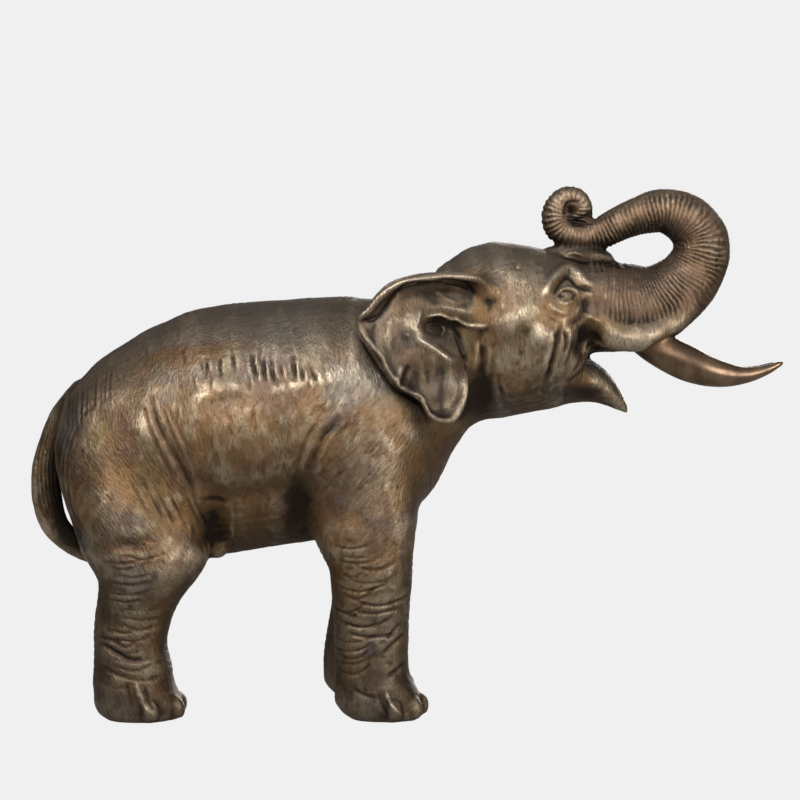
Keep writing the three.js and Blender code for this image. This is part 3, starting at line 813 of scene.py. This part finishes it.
def sculpt_body(clay):
    # painted shade along the ear's edge, where its shadow falls on the body, and behind the lobe
    clay.stroke([(-45, 309), (-32, 287), (-18, 266), (-9, 255), (2, 249), (9, 244), (14, 235), (20, 228)],
                1.9, -1.2, stain=1.0)
    clay.strokes((((36, 229), (54, 262), -4, 5, 0, 1.0),))
    # grooves down the flank, each its own length and lean
    for top, foot, width, depth in (
            ((-162, 285), (-159, 266), 0.9, 0.6), ((-151, 283), (-150, 263), 0.9, 0.5),
            ((-140, 287), (-138, 265), 1.0, 0.8), ((-134, 282), (-131, 260), 0.8, 0.5),
            ((-126, 289), (-120, 257), 1.5, 1.7), ((-116, 285), (-113, 257), 1.4, 1.5),
            ((-110, 281), (-106, 258), 1.2, 1.3), ((-103, 285), (-100, 260), 1.1, 1.0),
            ((-93, 285), (-90, 261), 1.4, 1.6), ((-86, 277), (-82, 260), 1.2, 1.2),
            ((-80, 277), (-71, 258), 1.3, 1.2), ((-68, 274), (-62, 258), 0.9, 0.6)):
        x = (top[0] + foot[0]) / 2 + rng.uniform(-1, 0.4)
        z = (top[1] + foot[1]) / 2
        clay.stroke([top, (x, z), foot], 1.25 * width, -1.1 * depth, taper=0.5, stain=0.22 * depth)
        clay.stroke([(top[0] + 2.6, top[1] - 4), (x + 2.6, z), (foot[0] + 2.4, foot[1])],
                    1.7, 0.5 * depth, taper=0.5, stain=-0.12)
    for _ in range(26):
        x = rng.uniform(-186, -70)
        z = rng.uniform(266, 294)
        clay.stroke([(x, z), (x + rng.uniform(0, 3), z - rng.uniform(8, 20))], rng.uniform(0.7, 1.1),
                    rng.uniform(-0.8, -0.2), stain=0.25)
    # the pale ledge the grooves end on, broken where it dips, with painted highlight on it and on the
    # shoulder behind the ear
    clay.stroke([(-181, 245), (-172, 247), (-160, 256), (-142, 258), (-128, 256)], 5.5, 0.55, stain=-0.16)
    clay.stroke([(-123, 254), (-111, 253), (-88, 260), (-69, 263), (-50, 273)], 5.0, 0.6, stain=-0.14)
    clay.strokes((((-170, 238), (-117, 244), 7, 4.0, -0.6, 0),))
    clay.dents((
        ((-29, 265), (22, 18), 0, -0.3),
        ((-62, 269), (16, 12), 0, -0.22)))
    # hip: a pale boss with a painted highlight, and the folds of skin running from it to the belly
    clay.stroke([(-208, 258), (-199, 226), (-182, 194), (-169, 164)], 3.0, -1.6, stain=0.42)
    clay.strokes((
        ((-200, 252), (-174, 191), -2.5, 1.5, -0.6, 0.25),
        ((-193, 245), (-173, 204), -1.5, 1.3, -0.4, 0.18),
        ((-212, 244), (-186, 181), -2.5, 1.6, -0.6, 0.25),
        ((-204, 247), (-186, 202), -2, 1.6, 0.9, -0.2)))
    clay.dents((
        ((-212, 225), (10, 16), 1.4, -0.2),
        ((-206, 249), (7, 11), 0.7, -0.15),
        ((-189, 167), (11, 12), 2.0, 0),
        ((-238, 163), (16, 22), 1.6, 0),
        ((-228, 205), (30, 44), 0, 0.16),
        ((-224, 131), (15, 6), -1.8, 0.35)))
    for k in range(9):
        x = -225 + 6.2 * k + rng.uniform(-2, 2)
        z = 176 + rng.uniform(-14, 14)
        clay.stroke([(x, z), (x + 8, z - 17), (x + 19, z - 36)], rng.uniform(1.0, 1.5),
                    rng.uniform(-0.8, -0.2), stain=0.2)
    # round belly, and painted shade below and behind it
    clay.strokes((((-179, 194), (-90, 191), -21.5, 8.5, -1.3, 0.2),))
    clay.dents((
        ((-130, 215), (46, 38), 1.8, 0),
        ((-150, 205), (34, 20), 0, 0.1),
        ((-149, 189), (20, 9), 0, 0.16)))
    # shoulder: the hollow behind the elbow with painted shade in and beside it, painted highlight on the
    # shoulder, and the creases leading up out of it
    clay.dents((
        ((-86, 167), (11, 24), -4.2, 0.7),
        ((-90, 148), (12, 9), -1.2, 0.3),
        ((-94, 168), (12, 18), 0, 0.4),
        ((-29, 203), (28, 34), 2.6, -0.22),
        ((-29, 163), (24, 32), 0, -0.12)))
    clay.strokes((
        ((-82, 185), (-53, 236), 3, 3.8, -1.5, 0.4),
        ((-72, 191), (-47, 229), 3, 1.8, -0.7, 0.3),
        ((-90, 191), (-69, 234), 3, 1.8, -0.9, 0.35),
        ((-75, 183), (-54, 223), 3, 2.6, 0.7, 0)))
    for _ in range(60):
        x = rng.uniform(-70, -14)
        z = rng.uniform(180, 268)
        clay.stroke([(x, z), (x - rng.uniform(5, 11), z - rng.uniform(6, 15))], rng.uniform(0.7, 1.2),
                    rng.uniform(-0.6, 0.3), stain=0.12)
    # groin, with painted shade in it
    clay.dent((-155, 145), (12, 19), -4.6, turn=4, stain=0.5)
    clay.dents((((-149, 134), (8, 14), 0.6, 0.3),))
    clay.strokes((
        ((-167, 165), (-144, 163), 3, 2.4, -0.8, 0.4),
        ((-142, 161), (-144, 129), 2, 1.8, 0.4, 0)))
    for z in (145, 139.5, 134, 129):
        clay.fold([(-158, z), (-150, z - 2), (-143, z + 1)], 1.2, 0.25)
    # wrinkles over the rump
    for k in range(10):
        x = -271 + 3.8 * k + rng.uniform(-0.8, 0.8)
        z = 243 + 2.6 * k + rng.uniform(-3, 3)
        clay.fold([(x, z + 8), (x - 1.8, z - 8), (x - 2.5, z - 24)], rng.uniform(1.0, 1.5),
                  rng.uniform(0.5, 1.1))
    # long hair-like marks of the tool, each way the skin lies
    for _ in range(520):
        x = rng.uniform(-275, 0)
        z = rng.uniform(110, 315)
        lean = float(slant(x, z)) + rng.uniform(-0.22, 0.22)
        step = np.array([math.sin(lean), -math.cos(lean)]) * rng.uniform(5, 15)
        start = np.array([x, z])
        cut = rng.uniform(-0.34, 0.3)
        clay.stroke([start, start + step], rng.uniform(0.8, 1.4), cut, stain=-0.35 * cut)


def slant(x, z):
    """Which way the skin's strokes run at a place, as an angle from straight down."""
    thigh = smoothstep(x, -150, -185) * smoothstep(z, 250, 190)
    shoulder = smoothstep(x, -105, -60) * smoothstep(z, 275, 235)
    return 0.5 * thigh - 0.6 * shoulder


def sculpt_legs(clay):
    # smile-shaped wrinkles round the forelegs
    for k in range(19):
        z = 131 - 5.4 * k + rng.uniform(-2, 2)
        left = rng.uniform(-62, -44)
        right = left + rng.uniform(22, 50)
        sag = rng.uniform(3, 7)
        tilt = rng.uniform(-1, 5)
        middle = (left + right) / 2
        depth = rng.uniform(0.4, 1.1) * (1 if z < 100 else 0.55)
        line = [(left, z + 1), (left * 0.6 + middle * 0.4, z - sag * 0.7), (middle, z - sag),
                (right * 0.7 + middle * 0.3, z - sag * 0.5 + tilt * 0.6), (right, z + sag * 0.4 + tilt)]
        clay.fold(line, rng.uniform(1.0, 1.5), depth)
        clay.stroke(line, 1.2, 0, stain=0.3)
    # flatter ones round the hind legs
    for k in range(20):
        z = 122 - 5.6 * k + rng.uniform(-1.8, 1.8)
        left = rng.uniform(-250, -228)
        right = left + rng.uniform(18, 46)
        sag = rng.uniform(0, 4)
        line = [(left, z + 2), ((left + right) / 2, z - sag), (right, z + rng.uniform(1, 4))]
        clay.fold(line, rng.uniform(0.9, 1.4), rng.uniform(0.25, 0.75))
        clay.stroke(line, 1.2, 0, stain=0.25)
    # forefoot: creases over it, and the splits between its toes
    clay.strokes((
        ((-18, 53), (-5, 68), 0, 1.2, -1.3, 0.4),
        ((-22, 41), (-2, 60), -0.5, 1.3, -1.5, 0.45),
        ((-18, 23), (-2, 37), -1.5, 1.3, -1.4, 0.45),
        ((-54, 77), (-41, 73), -1.5, 1.1, -1.0, 0.3),
        ((-18, 13), (-4, -9), -2.5, 1.6, 1.2, -0.6),
        ((-24, 11), (-16, -9), -1, 1.4, -0.9, 0.35),
        ((-45, 15), (-24, 6), -2, 1.5, -0.9, 0.3)))
    # hind foot, the same
    clay.stroke([(-249, 52), (-232, 41), (-222, 37), (-211, 39)], 1.9, -2.4, stain=0.6)
    clay.strokes((
        ((-250, 58), (-230, 51), -1, 1.5, -1.2, 0.4),
        ((-246, 33), (-226, 23), -2, 1.5, -1.0, 0.3),
        ((-220, 21), (-209, -8), -1, 1.8, 1.2, -0.55),
        ((-213, 15), (-203, -6), -1, 1.3, -1.0, 0.4),
        ((-227, 20), (-222, -4), -0.5, 1.4, -0.8, 0.3)))
    # short strokes over legs and feet
    for _ in range(200):
        x = rng.uniform(-250, -190) if rng.uniform() < 0.5 else rng.uniform(-62, 4)
        z = rng.uniform(8, 135)
        cut = rng.uniform(-0.5, 0.3)
        clay.stroke([(x, z), (x + rng.uniform(3, 9), z + rng.uniform(-3, 3))], rng.uniform(0.7, 1.2),
                    cut, stain=-0.4 * cut)


def sculpt_curl(clay):
    """The crease between the trunk's rolled tip and the bend it rests on, with painted shade in it."""
    clay.strokes((
        ((129, 388), (148, 397), 0, 1.5, -1.2, 1.2),
        ((126, 392), (138, 404), 8, 1.0, -0.8, 0.5)))


def sculpt_tail(clay):
    # painted shade along the tail's inner side and at its lower end
    clay.stroke([(-278, 230), (-283, 199), (-283, 168), (-275, 143), (-258, 122)], 5.5, 0, stain=1.0)
    clay.dent((-271, 137), (11, 12), 0, stain=1.2)
    for k in range(8):
        x = -297 + 3.4 * k
        clay.stroke([(x + 10, 232), (x + 1, 205), (x, 180), (x + 4, 158), (x + 16, 138)], 1.0, -0.7)


def sculpt_trunk(clay):
    """Rings along the trunk, each cut a little differently round it."""
    middle = spline([s[:3] for s in TRUNK], 900)
    along = np.concatenate([[0], np.cumsum(np.linalg.norm(np.diff(middle, axis=0), axis=1))])
    i = np.nonzero(clay.near["trunk"] > 0.02)[0]
    p = clay.p[i]
    nearest = np.empty(len(i), int)
    for start in range(0, len(i), 4000):
        block = p[start:start + 4000, None, [0, 2]] - middle[None, ::3][..., [0, 2]]
        nearest[start:start + 4000] = 3 * (block ** 2).sum(-1).argmin(1)
    s = along[nearest]
    tangent = np.gradient(middle, axis=0)
    tangent /= np.linalg.norm(tangent, axis=1)[:, None]
    s = s + ((p - middle[nearest]) * tangent[nearest]).sum(1)
    up = np.cross(tangent[nearest], np.array([0, 1.0, 0]))
    radial = p - middle[nearest]
    turn = np.abs(np.arctan2(radial[:, 1], -(radial * up).sum(1)))
    side_band = 0.25 + 0.75 * smoothstep(turn, 0.3, 0.8) * (1 - 0.4 * smoothstep(turn, 2.4, 2.9))
    pitch = 3.6 - 1.0 * smoothstep(s, 150, 330)
    steps = np.arange(0, along[-1] + 40, 0.5)
    count = np.cumsum(1 / np.interp(steps, [0, 150, 330], [3.5, 3.3, 2.9])) * 0.5
    phase = np.interp(s, steps, count)
    phase = phase + 0.2 * waves(p, 34, 5, 21) + 0.09 * waves(p, 9, 5, 22)
    ring = np.abs((phase % 1) - 0.5) * 2
    number = np.round(phase)
    strength = 0.62 + 0.38 * np.sin(number * 12.9898 + 1.5 * waves(p, 24, 4, 23))
    root_fade = smoothstep(s, 5, 18)
    groove = -np.exp(-(((1 - ring) * pitch / 2 / 0.68) ** 2))
    weight = clay.near["trunk"][i] * root_fade * side_band * (1 - clay.near["tusk"][i])
    weight *= 0.55 + 0.45 * smoothstep(s, 30, 70)
    clay.push[i] += (1.15 * strength * groove - 0.3 * ring) * weight
    clay.stain[i] += (0.08 - 0.42 * strength * groove) * weight


def creases(clay, weight, along, pitch, depth, seed):
    """Creases pitch apart across a surface, each waxing and waning along its own length."""
    i = np.nonzero(weight > 0.02)[0]
    p = clay.p[i]
    phase = along[i] / pitch + 0.4 * waves(p, 48, 6, seed) + 0.14 * waves(p, 15, 6, seed + 1)
    off = np.abs(phase - np.round(phase)) * pitch
    strength = 0.5 + 0.5 * np.sin(np.round(phase) * 12.9898 + 2.2 * waves(p, 34, 5, seed + 2))
    clay.push[i] += depth * (0.3 - strength * np.exp(-((off / 1.1) ** 2))) * weight[i]
    clay.stain[i] += 0.35 * depth * strength * np.exp(-((off / 1.1) ** 2)) * weight[i]


def sculpt_ends(clay):
    """Creases on the faces turned forward, back and up, where the side strokes fade out."""
    x, y, z = clay.p.T
    end_on = 1 - clay.facing
    near = clay.near
    legs = np.maximum(near["foreleg"], near["hindleg"])
    creases(clay, legs * end_on * smoothstep(z, 22, 34) * smoothstep(z, 165, 130), z + x / 9, 6.3, 0.5, 31)
    body = end_on * (1 - legs) * (1 - clay.on_ear) * (1 - near["tail"])
    chest = smoothstep(clay.n[:, 0], 0.25, 0.6) * smoothstep(x, -20, 0) * smoothstep(x, 80, 60)
    creases(clay, body * chest * smoothstep(z, 160, 185), z - y ** 2 / 90, 7.5, 1.0, 41)
    rear = smoothstep(clay.n[:, 0], -0.3, -0.7) * smoothstep(x, -190, -215)
    creases(clay, body * rear * smoothstep(z, 120, 145), y * 1.1, 7.0, 0.8, 51)
    top = smoothstep(clay.n[:, 2], 0.5, 0.85) * smoothstep(z, 285, 300) * smoothstep(x, 60, 30)
    creases(clay, body * top, x, 6.5, 0.35, 61)
    under = smoothstep(clay.n[:, 2], -0.5, -0.85) * smoothstep(z, 100, 120)
    creases(clay, body * under, x * 0.3 + np.abs(y), 9.0, 0.4, 71)


def sculpt_skin(clay):
    """Uneven hand-worked surface everywhere but on the tusks and soles."""
    skin_weight = 1 - clay.near["tusk"]
    skin_weight *= smoothstep(clay.p[:, 2], 0.5, 4)
    p = clay.p
    calm = 1 - 0.6 * clay.on_ear
    clay.push += skin_weight * calm * (0.4 * waves(p, 38, 9, 1) + 0.1 * waves(p, 13, 9, 2))
    fine = waves(p * [1, 1, 0.4], 4.6, 14, 3)
    clay.push += 0.085 * skin_weight * calm * fine


# ---- build -----------------------------------------------------------------------------------
def build():
    whole, named = body_fields()
    grid = vdb.FloatGrid(FAR)
    grid.transform = vdb.createLinearTransform(voxelSize=VOXEL)
    grid.copyFromArray(whole.values, ijk=tuple(int(v) for v in whole.low), tolerance=0.0)
    points, triangles, quads = grid.convertToPolygons(isovalue=0.0, adaptivity=0.0)
    sheet = Sheet("elephant_skin", points, quads, triangles)
    mesh = sheet.mesh
    edges = edges_of(mesh)
    p = relaxed(vertices_of(mesh), edges, 3, 0.5)
    place(mesh, p)
    clay = Clay(p, normals_of(mesh), named)
    sculpt_trunk(clay)
    sculpt_skin(clay)
    sculpt_ends(clay)
    place(mesh, p + clay.n * clay.push[:, None])
    rings_stain = clay.stain
    clay = Clay(vertices_of(mesh), normals_of(mesh), named)
    clay.stain += rings_stain
    sculpt_head(clay)
    sculpt_ears(clay)
    sculpt_body(clay)
    sculpt_legs(clay)
    sculpt_tail(clay)
    sculpt_curl(clay)
    patina_zones(clay)
    p = clay.p + clay.n * clay.push[:, None]
    p = relaxed(p, edges, 1, 0.25)
    p += (relaxed(p, edges, 8) - p) * clay.near["tusk"][:, None]
    p[:, 0] += SHIFT
    low, high = np.array(cad_box[0]) / MM, np.array(cad_box[1]) / MM
    inset = np.array([0.02, 0.02, 0])        # thinning may carry a point a hair outwards
    p = np.clip(p, low + inset, high - inset)
    place(mesh, p * MM)
    stored = {
        "tusk": clay.near["tusk"], "trunk": clay.near["trunk"],
        "tail": clay.near["tail"], "ear": clay.near["ear"], "stain": clay.stain, "tint": clay.tint,
        "slant": slant(clay.u[:, 0], clay.u[:, 1]),
    }
    for name, value in stored.items():
        store(mesh, name, value)
    return mesh


def store(mesh, name, value):
    attribute = mesh.attributes.new(name, "FLOAT", "POINT")
    attribute.data.foreach_set("value", np.asarray(value).astype(np.float32))


def thinned(mesh):
    """The mesh as an object with fewer triangles, most of them kept where it bends."""
    piece = bpy.data.objects.new("elephant_bronze", mesh)
    bpy.context.scene.collection.objects.link(piece)
    mesh.update()
    total = sum(len(poly.vertices) - 2 for poly in mesh.polygons)
    shrink = piece.modifiers.new("thin", "DECIMATE")
    shrink.ratio = min(1, TRIANGLES / total)
    shrink.use_collapse_triangulate = True
    ready = bpy.data.meshes.new_from_object(piece.evaluated_get(bpy.context.evaluated_depsgraph_get()))
    piece.modifiers.clear()
    piece.data = ready
    ready.shade_smooth()
    return piece


def shade_facts(mesh):
    """Stores how hollow, how raised and how sheltered each point is, for the patina, the rubbed ridges and
    the painted shade where a point is sheltered.
    """
    p = vertices_of(mesh) / MM
    n = normals_of(mesh)
    edges = edges_of(mesh)
    fine = ((relaxed(p, edges, 4, 0.6) - p) * n).sum(1)
    broad = ((relaxed(p, edges, 40, 0.6) - p) * n).sum(1)
    fine = relaxed(fine, edges, 1)
    broad = relaxed(broad, edges, 3)
    triangles = np.empty(len(mesh.loop_triangles) * 3, np.int32)
    mesh.loop_triangles.foreach_get("vertices", triangles)
    step, band = 2.5, 14
    grid = vdb.FloatGrid.createLevelSetFromPolygons(
        p.astype(np.float32), triangles=triangles.reshape(-1, 3).astype(np.uint32),
        transform=vdb.createLinearTransform(voxelSize=step), halfWidth=band)
    low = np.floor(p.min(0) / step).astype(int) - band
    high = np.ceil(p.max(0) / step).astype(int) + band
    values = np.full(tuple(high - low + 1), step * band, np.float32)
    grid.copyToArray(values, ijk=tuple(int(v) for v in low))
    open_sky = np.zeros(len(p))
    for reach in (5.0, 10.0, 18.0, 30.0):
        spot = np.round((p + n * reach) / step).astype(int) - low
        spot = np.clip(spot, 0, np.array(values.shape) - 1)
        open_sky += np.clip(values[tuple(spot.T)] / reach, -0.5, 1)
    open_sky = relaxed(open_sky / 4, edges, 12)
    for name, value in (("hollow_fine", fine), ("hollow_broad", broad), ("open_sky", open_sky)):
        store(mesh, name, value)


# ---- nodes -----------------------------------------------------------------------------------
def wiring(tree):
    """Empties a node tree and gives back the function that adds a node to it.

    Inputs are linked where they are given an output, and set where they are given a constant.
    """
    tree.nodes.clear()

    def node(kind, inputs=(), **settings):
        made = tree.nodes.new(kind)
        for key, value in settings.items():
            setattr(made, key, value)
        for key, value in dict(inputs).items():
            if isinstance(value, bpy.types.NodeSocket):
                tree.links.new(value, made.inputs[key])
            else:
                made.inputs[key].default_value = value
        return made.outputs

    return node


def material_of(name):
    material = bpy.data.materials.new(name)
    material.use_nodes = True
    return material, wiring(material.node_tree)


# ---- bronze ----------------------------------------------------------------------------------
def bronze():
    material, node = material_of("bronze_patina")

    def attribute(name):
        return node("ShaderNodeAttribute", attribute_name=name)["Fac"]

    def math_node(operation, a, b, clamp=False):
        return node("ShaderNodeMath", {0: a, 1: b}, operation=operation, use_clamp=clamp)[0]

    def times(a, b, clamp=False):
        return math_node("MULTIPLY", a, b, clamp)

    def plus(a, b):
        return math_node("ADD", a, b)

    def ranged(value, low, high, to_low=0.0, to_high=1.0):
        spans = {"Value": value, "From Min": low, "From Max": high, "To Min": to_low, "To Max": to_high}
        return node("ShaderNodeMapRange", spans, clamp=True, interpolation_type="SMOOTHSTEP")[0]

    def mixed(a, b, share):
        return node("ShaderNodeMix", {0: share, 6: a, 7: b}, data_type="RGBA", clamp_factor=True)[2]

    def mixed_value(a, b, share):
        return node("ShaderNodeMix", {0: share, 2: a, 3: b}, data_type="FLOAT", clamp_factor=True)[0]

    def noise(scale, detail=3.0, stretch=(1, 1, 1), roughness=0.55, turn=0.0):
        turned = node("ShaderNodeMapping", {"Vector": coordinates, "Rotation": (0, turn, 0)})[0]
        stretched = node("ShaderNodeMapping", {"Vector": turned, "Scale": stretch})[0]
        return node("ShaderNodeTexNoise", {
            "Vector": stretched, "Scale": scale, "Detail": detail, "Roughness": roughness})[0]

    coordinates = node("ShaderNodeTexCoord")["Object"]
    hollow = attribute("hollow_fine")
    broad = attribute("hollow_broad")
    sky = attribute("open_sky")
    tusk = attribute("tusk")
    trunk = attribute("trunk")
    tail = attribute("tail")
    stain = attribute("stain")
    lean = attribute("slant")
    leaf = attribute("ear")
    up = node("ShaderNodeSeparateXYZ", {0: node("ShaderNodeNewGeometry")["Normal"]})
    height = node("ShaderNodeSeparateXYZ", {0: coordinates})[2]

    # strokes of the tool: straight down, leaning one way, leaning the other
    down = noise(560, 3, (1.0, 1.0, 0.3))
    left = noise(560, 3, (1.0, 1.0, 0.3), turn=0.55)
    right = noise(560, 3, (1.0, 1.0, 0.3), turn=-0.6)
    strokes = mixed_value(down, left, ranged(lean, 0.1, 0.45))
    strokes = mixed_value(strokes, right, ranged(lean, -0.1, -0.5))
    zone = noise(12, 5, (1.0, 1.0, 1.4), 0.6)
    blotch = noise(24, 5)
    patch = noise(55, 4, (1.0, 1.0, 0.6))
    grit = noise(700, 3)
    fleck = noise(260, 4, (1.0, 1.0, 0.55), 0.7)

    dark = (0.020, 0.014, 0.010, 1)
    brown = (0.112, 0.066, 0.038, 1)
    warm = (0.190, 0.110, 0.050, 1)
    rust = (0.165, 0.090, 0.036, 1)
    slate = (0.115, 0.102, 0.094, 1)
    olive = (0.122, 0.094, 0.040, 1)
    gold = (0.48, 0.39, 0.275, 1)
    grey = (0.170, 0.146, 0.120, 1)

    base = mixed(brown, warm, ranged(blotch, 0.42, 0.64))
    base = mixed(base, olive, times(ranged(patch, 0.48, 0.66), 0.7))
    tint = attribute("tint")
    turned = plus(times(tint, 0.14), zone)
    base = mixed(base, rust, times(ranged(turned, 0.51, 0.66), 0.75))
    base = mixed(base, slate, times(ranged(turned, 0.47, 0.33), 0.7))
    back = times(ranged(up[2], 0.05, 0.75), ranged(height, 0.2, 0.3))
    back = times(back, ranged(tint, 0.2, 0.9, 0.65, 0.1))
    base = mixed(base, grey, back)
    # painted shade: the legs darken towards the ground
    low_leg = ranged(height, 0.16, 0.07)
    base = mixed(base, dark, times(low_leg, 0.5))
    base = mixed(base, dark, ranged(height, 0.06, 0.02, 0.0, 0.3))
    base = mixed(base, (0.112, 0.066, 0.043, 1), times(trunk, 0.6))
    base = mixed(base, (0.115, 0.095, 0.074, 1), times(leaf, 0.45))
    # painted shade on the faces turned downwards
    base = mixed(base, dark, ranged(up[2], -0.3, -0.9, 0.0, 0.2))
    # darker tail colour, with painted shade on its inner side
    base = mixed(base, dark, times(tail, ranged(up[0], -0.4, 0.4, 0.3, 0.93)))
    # painted shade on the underside of the trunk's loop
    inner = times(trunk, ranged(up[2], -0.05, -0.6, 0.0, 0.8))
    base = mixed(base, dark, times(inner, ranged(height, 0.33, 0.37)))
    # gold where ridges are rubbed, plus painted highlight where the stain value is negative
    rub_and_painted_highlight = plus(ranged(hollow, -0.03, -0.36), ranged(broad, -0.9, -3.2))
    rub_and_painted_highlight = plus(rub_and_painted_highlight, ranged(stain, 0.0, -0.4))
    rub_and_painted_highlight = times(rub_and_painted_highlight, ranged(patch, 0.3, 0.7, 0.5, 0.9))
    rub_and_painted_highlight = times(rub_and_painted_highlight, ranged(strokes, 0.35, 0.6, 0.65, 1.0))
    rub_and_painted_highlight = times(rub_and_painted_highlight, ranged(leaf, 0.0, 1.0, 1.0, 0.6))
    rub_and_painted_highlight = times(rub_and_painted_highlight, ranged(sky, 0.35, 0.8))
    rub_and_painted_highlight = times(rub_and_painted_highlight, ranged(height, 0.03, 0.17, 0.3, 1.0))
    rub_and_painted_highlight = times(rub_and_painted_highlight, ranged(trunk, 0.0, 1.0, 1.0, 0.55))
    base = mixed(base, gold, times(rub_and_painted_highlight, 0.6, clamp=True))
    # pale flecks of painted highlight where the stain value is negative
    pale = times(ranged(stain, -0.1, -0.6), ranged(fleck, 0.5, 0.6, 0.1, 1.0))
    base = mixed(base, (0.47, 0.43, 0.38, 1), times(pale, 0.55))
    base = mixed(base, dark, ranged(fleck, 0.42, 0.32, 0.0, 0.35))
    base = mixed(base, dark, ranged(strokes, 0.46, 0.3, 0.0, 0.4))
    sunk = plus(ranged(hollow, 0.02, 0.3), ranged(broad, 0.3, 2.2))
    sunk = times(sunk, ranged(leaf, 0.0, 1.0, 1.0, 0.65))
    base = mixed(base, dark, times(sunk, 0.75, clamp=True))
    # painted shade where the surface is sheltered from the sky
    base = mixed(base, dark, ranged(sky, 0.7, 0.1, 0.0, 0.85))
    # patina and painted shade where the stain value is positive
    base = mixed(base, dark, ranged(stain, 0.0, 1.0, 0.0, 0.92))
    tusk_brown = mixed((0.075, 0.042, 0.024, 1), (0.20, 0.122, 0.07, 1), ranged(patch, 0.3, 0.7))
    base = mixed(base, tusk_brown, times(tusk, 0.85))

    bumps = plus(times(strokes, 1.5), times(grit, 0.35))
    bumps = times(bumps, ranged(tusk, 0.2, 0.9, 1.0, 0.12))
    bump = node("ShaderNodeBump", {"Strength": 0.5, "Distance": 0.0008, "Height": bumps})[0]

    rough = plus(ranged(rub_and_painted_highlight, 0.0, 1.0, 0.48, 0.36), times(grit, 0.10))
    rough = math_node("SUBTRACT", rough, times(tusk, 0.1))
    shader = node("ShaderNodeBsdfPrincipled", {
        "Base Color": base, "Metallic": 0.87, "Roughness": rough, "Normal": bump})[0]
    node("ShaderNodeOutputMaterial", {"Surface": shader})
    return material


# ---- stage -----------------------------------------------------------------------------------
PALE = 0.871                             # the studio's backdrop
FLOOR_RADIUS = 2.6                       # in metres


def pale_floor():
    """A pale floor that runs out into the backdrop."""
    mesh = bpy.data.meshes.new("studio_floor")
    turns = np.linspace(0, 2 * math.pi, 96)[:-1]
    rim = [(FLOOR_RADIUS * math.cos(a), FLOOR_RADIUS * math.sin(a), 0) for a in turns]
    mesh.from_pydata(rim, [], [tuple(range(len(rim)))])
    material, node = material_of("pale_floor")
    diffuse = node("ShaderNodeBsdfDiffuse", {"Color": (0.36, 0.35, 0.34, 1)})[0]
    glow = node("ShaderNodeEmission", {"Color": (1, 1, 1, 1), "Strength": PALE})[0]
    seen = node("ShaderNodeLightPath")["Is Camera Ray"]
    pale = node("ShaderNodeMixShader", {0: seen, 1: diffuse, 2: glow})[0]
    spot = node("ShaderNodeTexCoord")["Object"]
    length = node("ShaderNodeVectorMath", {0: spot}, operation="LENGTH")["Value"]
    spans = {"Value": length, "From Min": 0.45, "From Max": 1.5}
    edge = node("ShaderNodeMapRange", spans, interpolation_type="SMOOTHSTEP")[0]
    clear = node("ShaderNodeBsdfTransparent")[0]
    fade = node("ShaderNodeMixShader", {0: edge, 1: pale, 2: clear})[0]
    node("ShaderNodeOutputMaterial", {"Surface": fade})
    mesh.materials.append(material)
    floor = bpy.data.objects.new("studio_floor", mesh)
    bpy.context.scene.collection.objects.link(floor)


def lamp(name, at, look, size, watts):
    data = bpy.data.lights.new(name, "AREA")
    data.shape = "DISK"
    data.size = size
    data.energy = watts
    made = bpy.data.objects.new(name, data)
    bpy.context.scene.collection.objects.link(made)
    direction = Vector(look) - Vector(at)
    made.matrix_world = Matrix.Translation(at) @ direction.to_track_quat("-Z", "Y").to_matrix().to_4x4()


def studio():
    """Soft light from above, fading to dim at the ground, in front of a pale backdrop."""
    bpy.context.scene.view_settings.view_transform = "Standard"
    world = bpy.data.worlds.new("studio")
    bpy.context.scene.world = world
    world.use_nodes = True
    node = wiring(world.node_tree)
    white = (1, 1, 1, 1)

    def ramp(value, low, high, to_low, to_high):
        return node("ShaderNodeMapRange", {
            "Value": value, "From Min": low, "From Max": high, "To Min": to_low, "To Max": to_high})[0]

    axes = node("ShaderNodeSeparateXYZ", {0: node("ShaderNodeTexCoord")["Generated"]})
    climb = ramp(axes[2], -0.1, 0.9, 0.11, 0.42)
    front = ramp(axes[1], 0.5, -0.5, 0.35, 1.1)
    dim = node("ShaderNodeMath", {0: climb, 1: front}, operation="MULTIPLY")[0]
    light = node("ShaderNodeBackground", {"Color": white, "Strength": dim})[0]
    backdrop = node("ShaderNodeBackground", {"Color": white, "Strength": PALE})[0]
    seen = node("ShaderNodeLightPath")["Is Camera Ray"]
    chosen = node("ShaderNodeMixShader", {0: seen, 1: light, 2: backdrop})[0]
    node("ShaderNodeOutputWorld", {"Surface": chosen})
    lamp("key", (-0.55, -2.05, 1.75), (-0.05, 0, 0.2), 1.2, 66)
    lamp("fill", (1.7, -1.9, 0.8), (0.1, 0, 0.25), 1.3, 38)
    lamp("back", (0.7, 2.5, 0.7), (0, 0, 0.2), 1.4, 34)


def camera():
    data = bpy.data.cameras.new("camera")
    data.sensor_width = 36
    data.lens = 123.75
    data.clip_end = 200
    made = bpy.data.objects.new("camera", data)
    bpy.context.scene.collection.objects.link(made)
    target = Vector(CAMERA_TARGET) * MM + Vector((SHIFT * MM, 0, 0))
    away = Vector((0, -math.cos(CAMERA_ELEVATION), math.sin(CAMERA_ELEVATION)))
    at = target + away * CAMERA_DISTANCE * MM
    made.matrix_world = Matrix.Translation(at) @ (-away).to_track_quat("-Z", "Y").to_matrix().to_4x4()
    bpy.context.scene.camera = made


elephant = thinned(build())
shade_facts(elephant.data)
elephant.data.materials.append(bronze())
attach(elephant, "root")
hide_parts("elephant")
pale_floor()
studio()
camera()
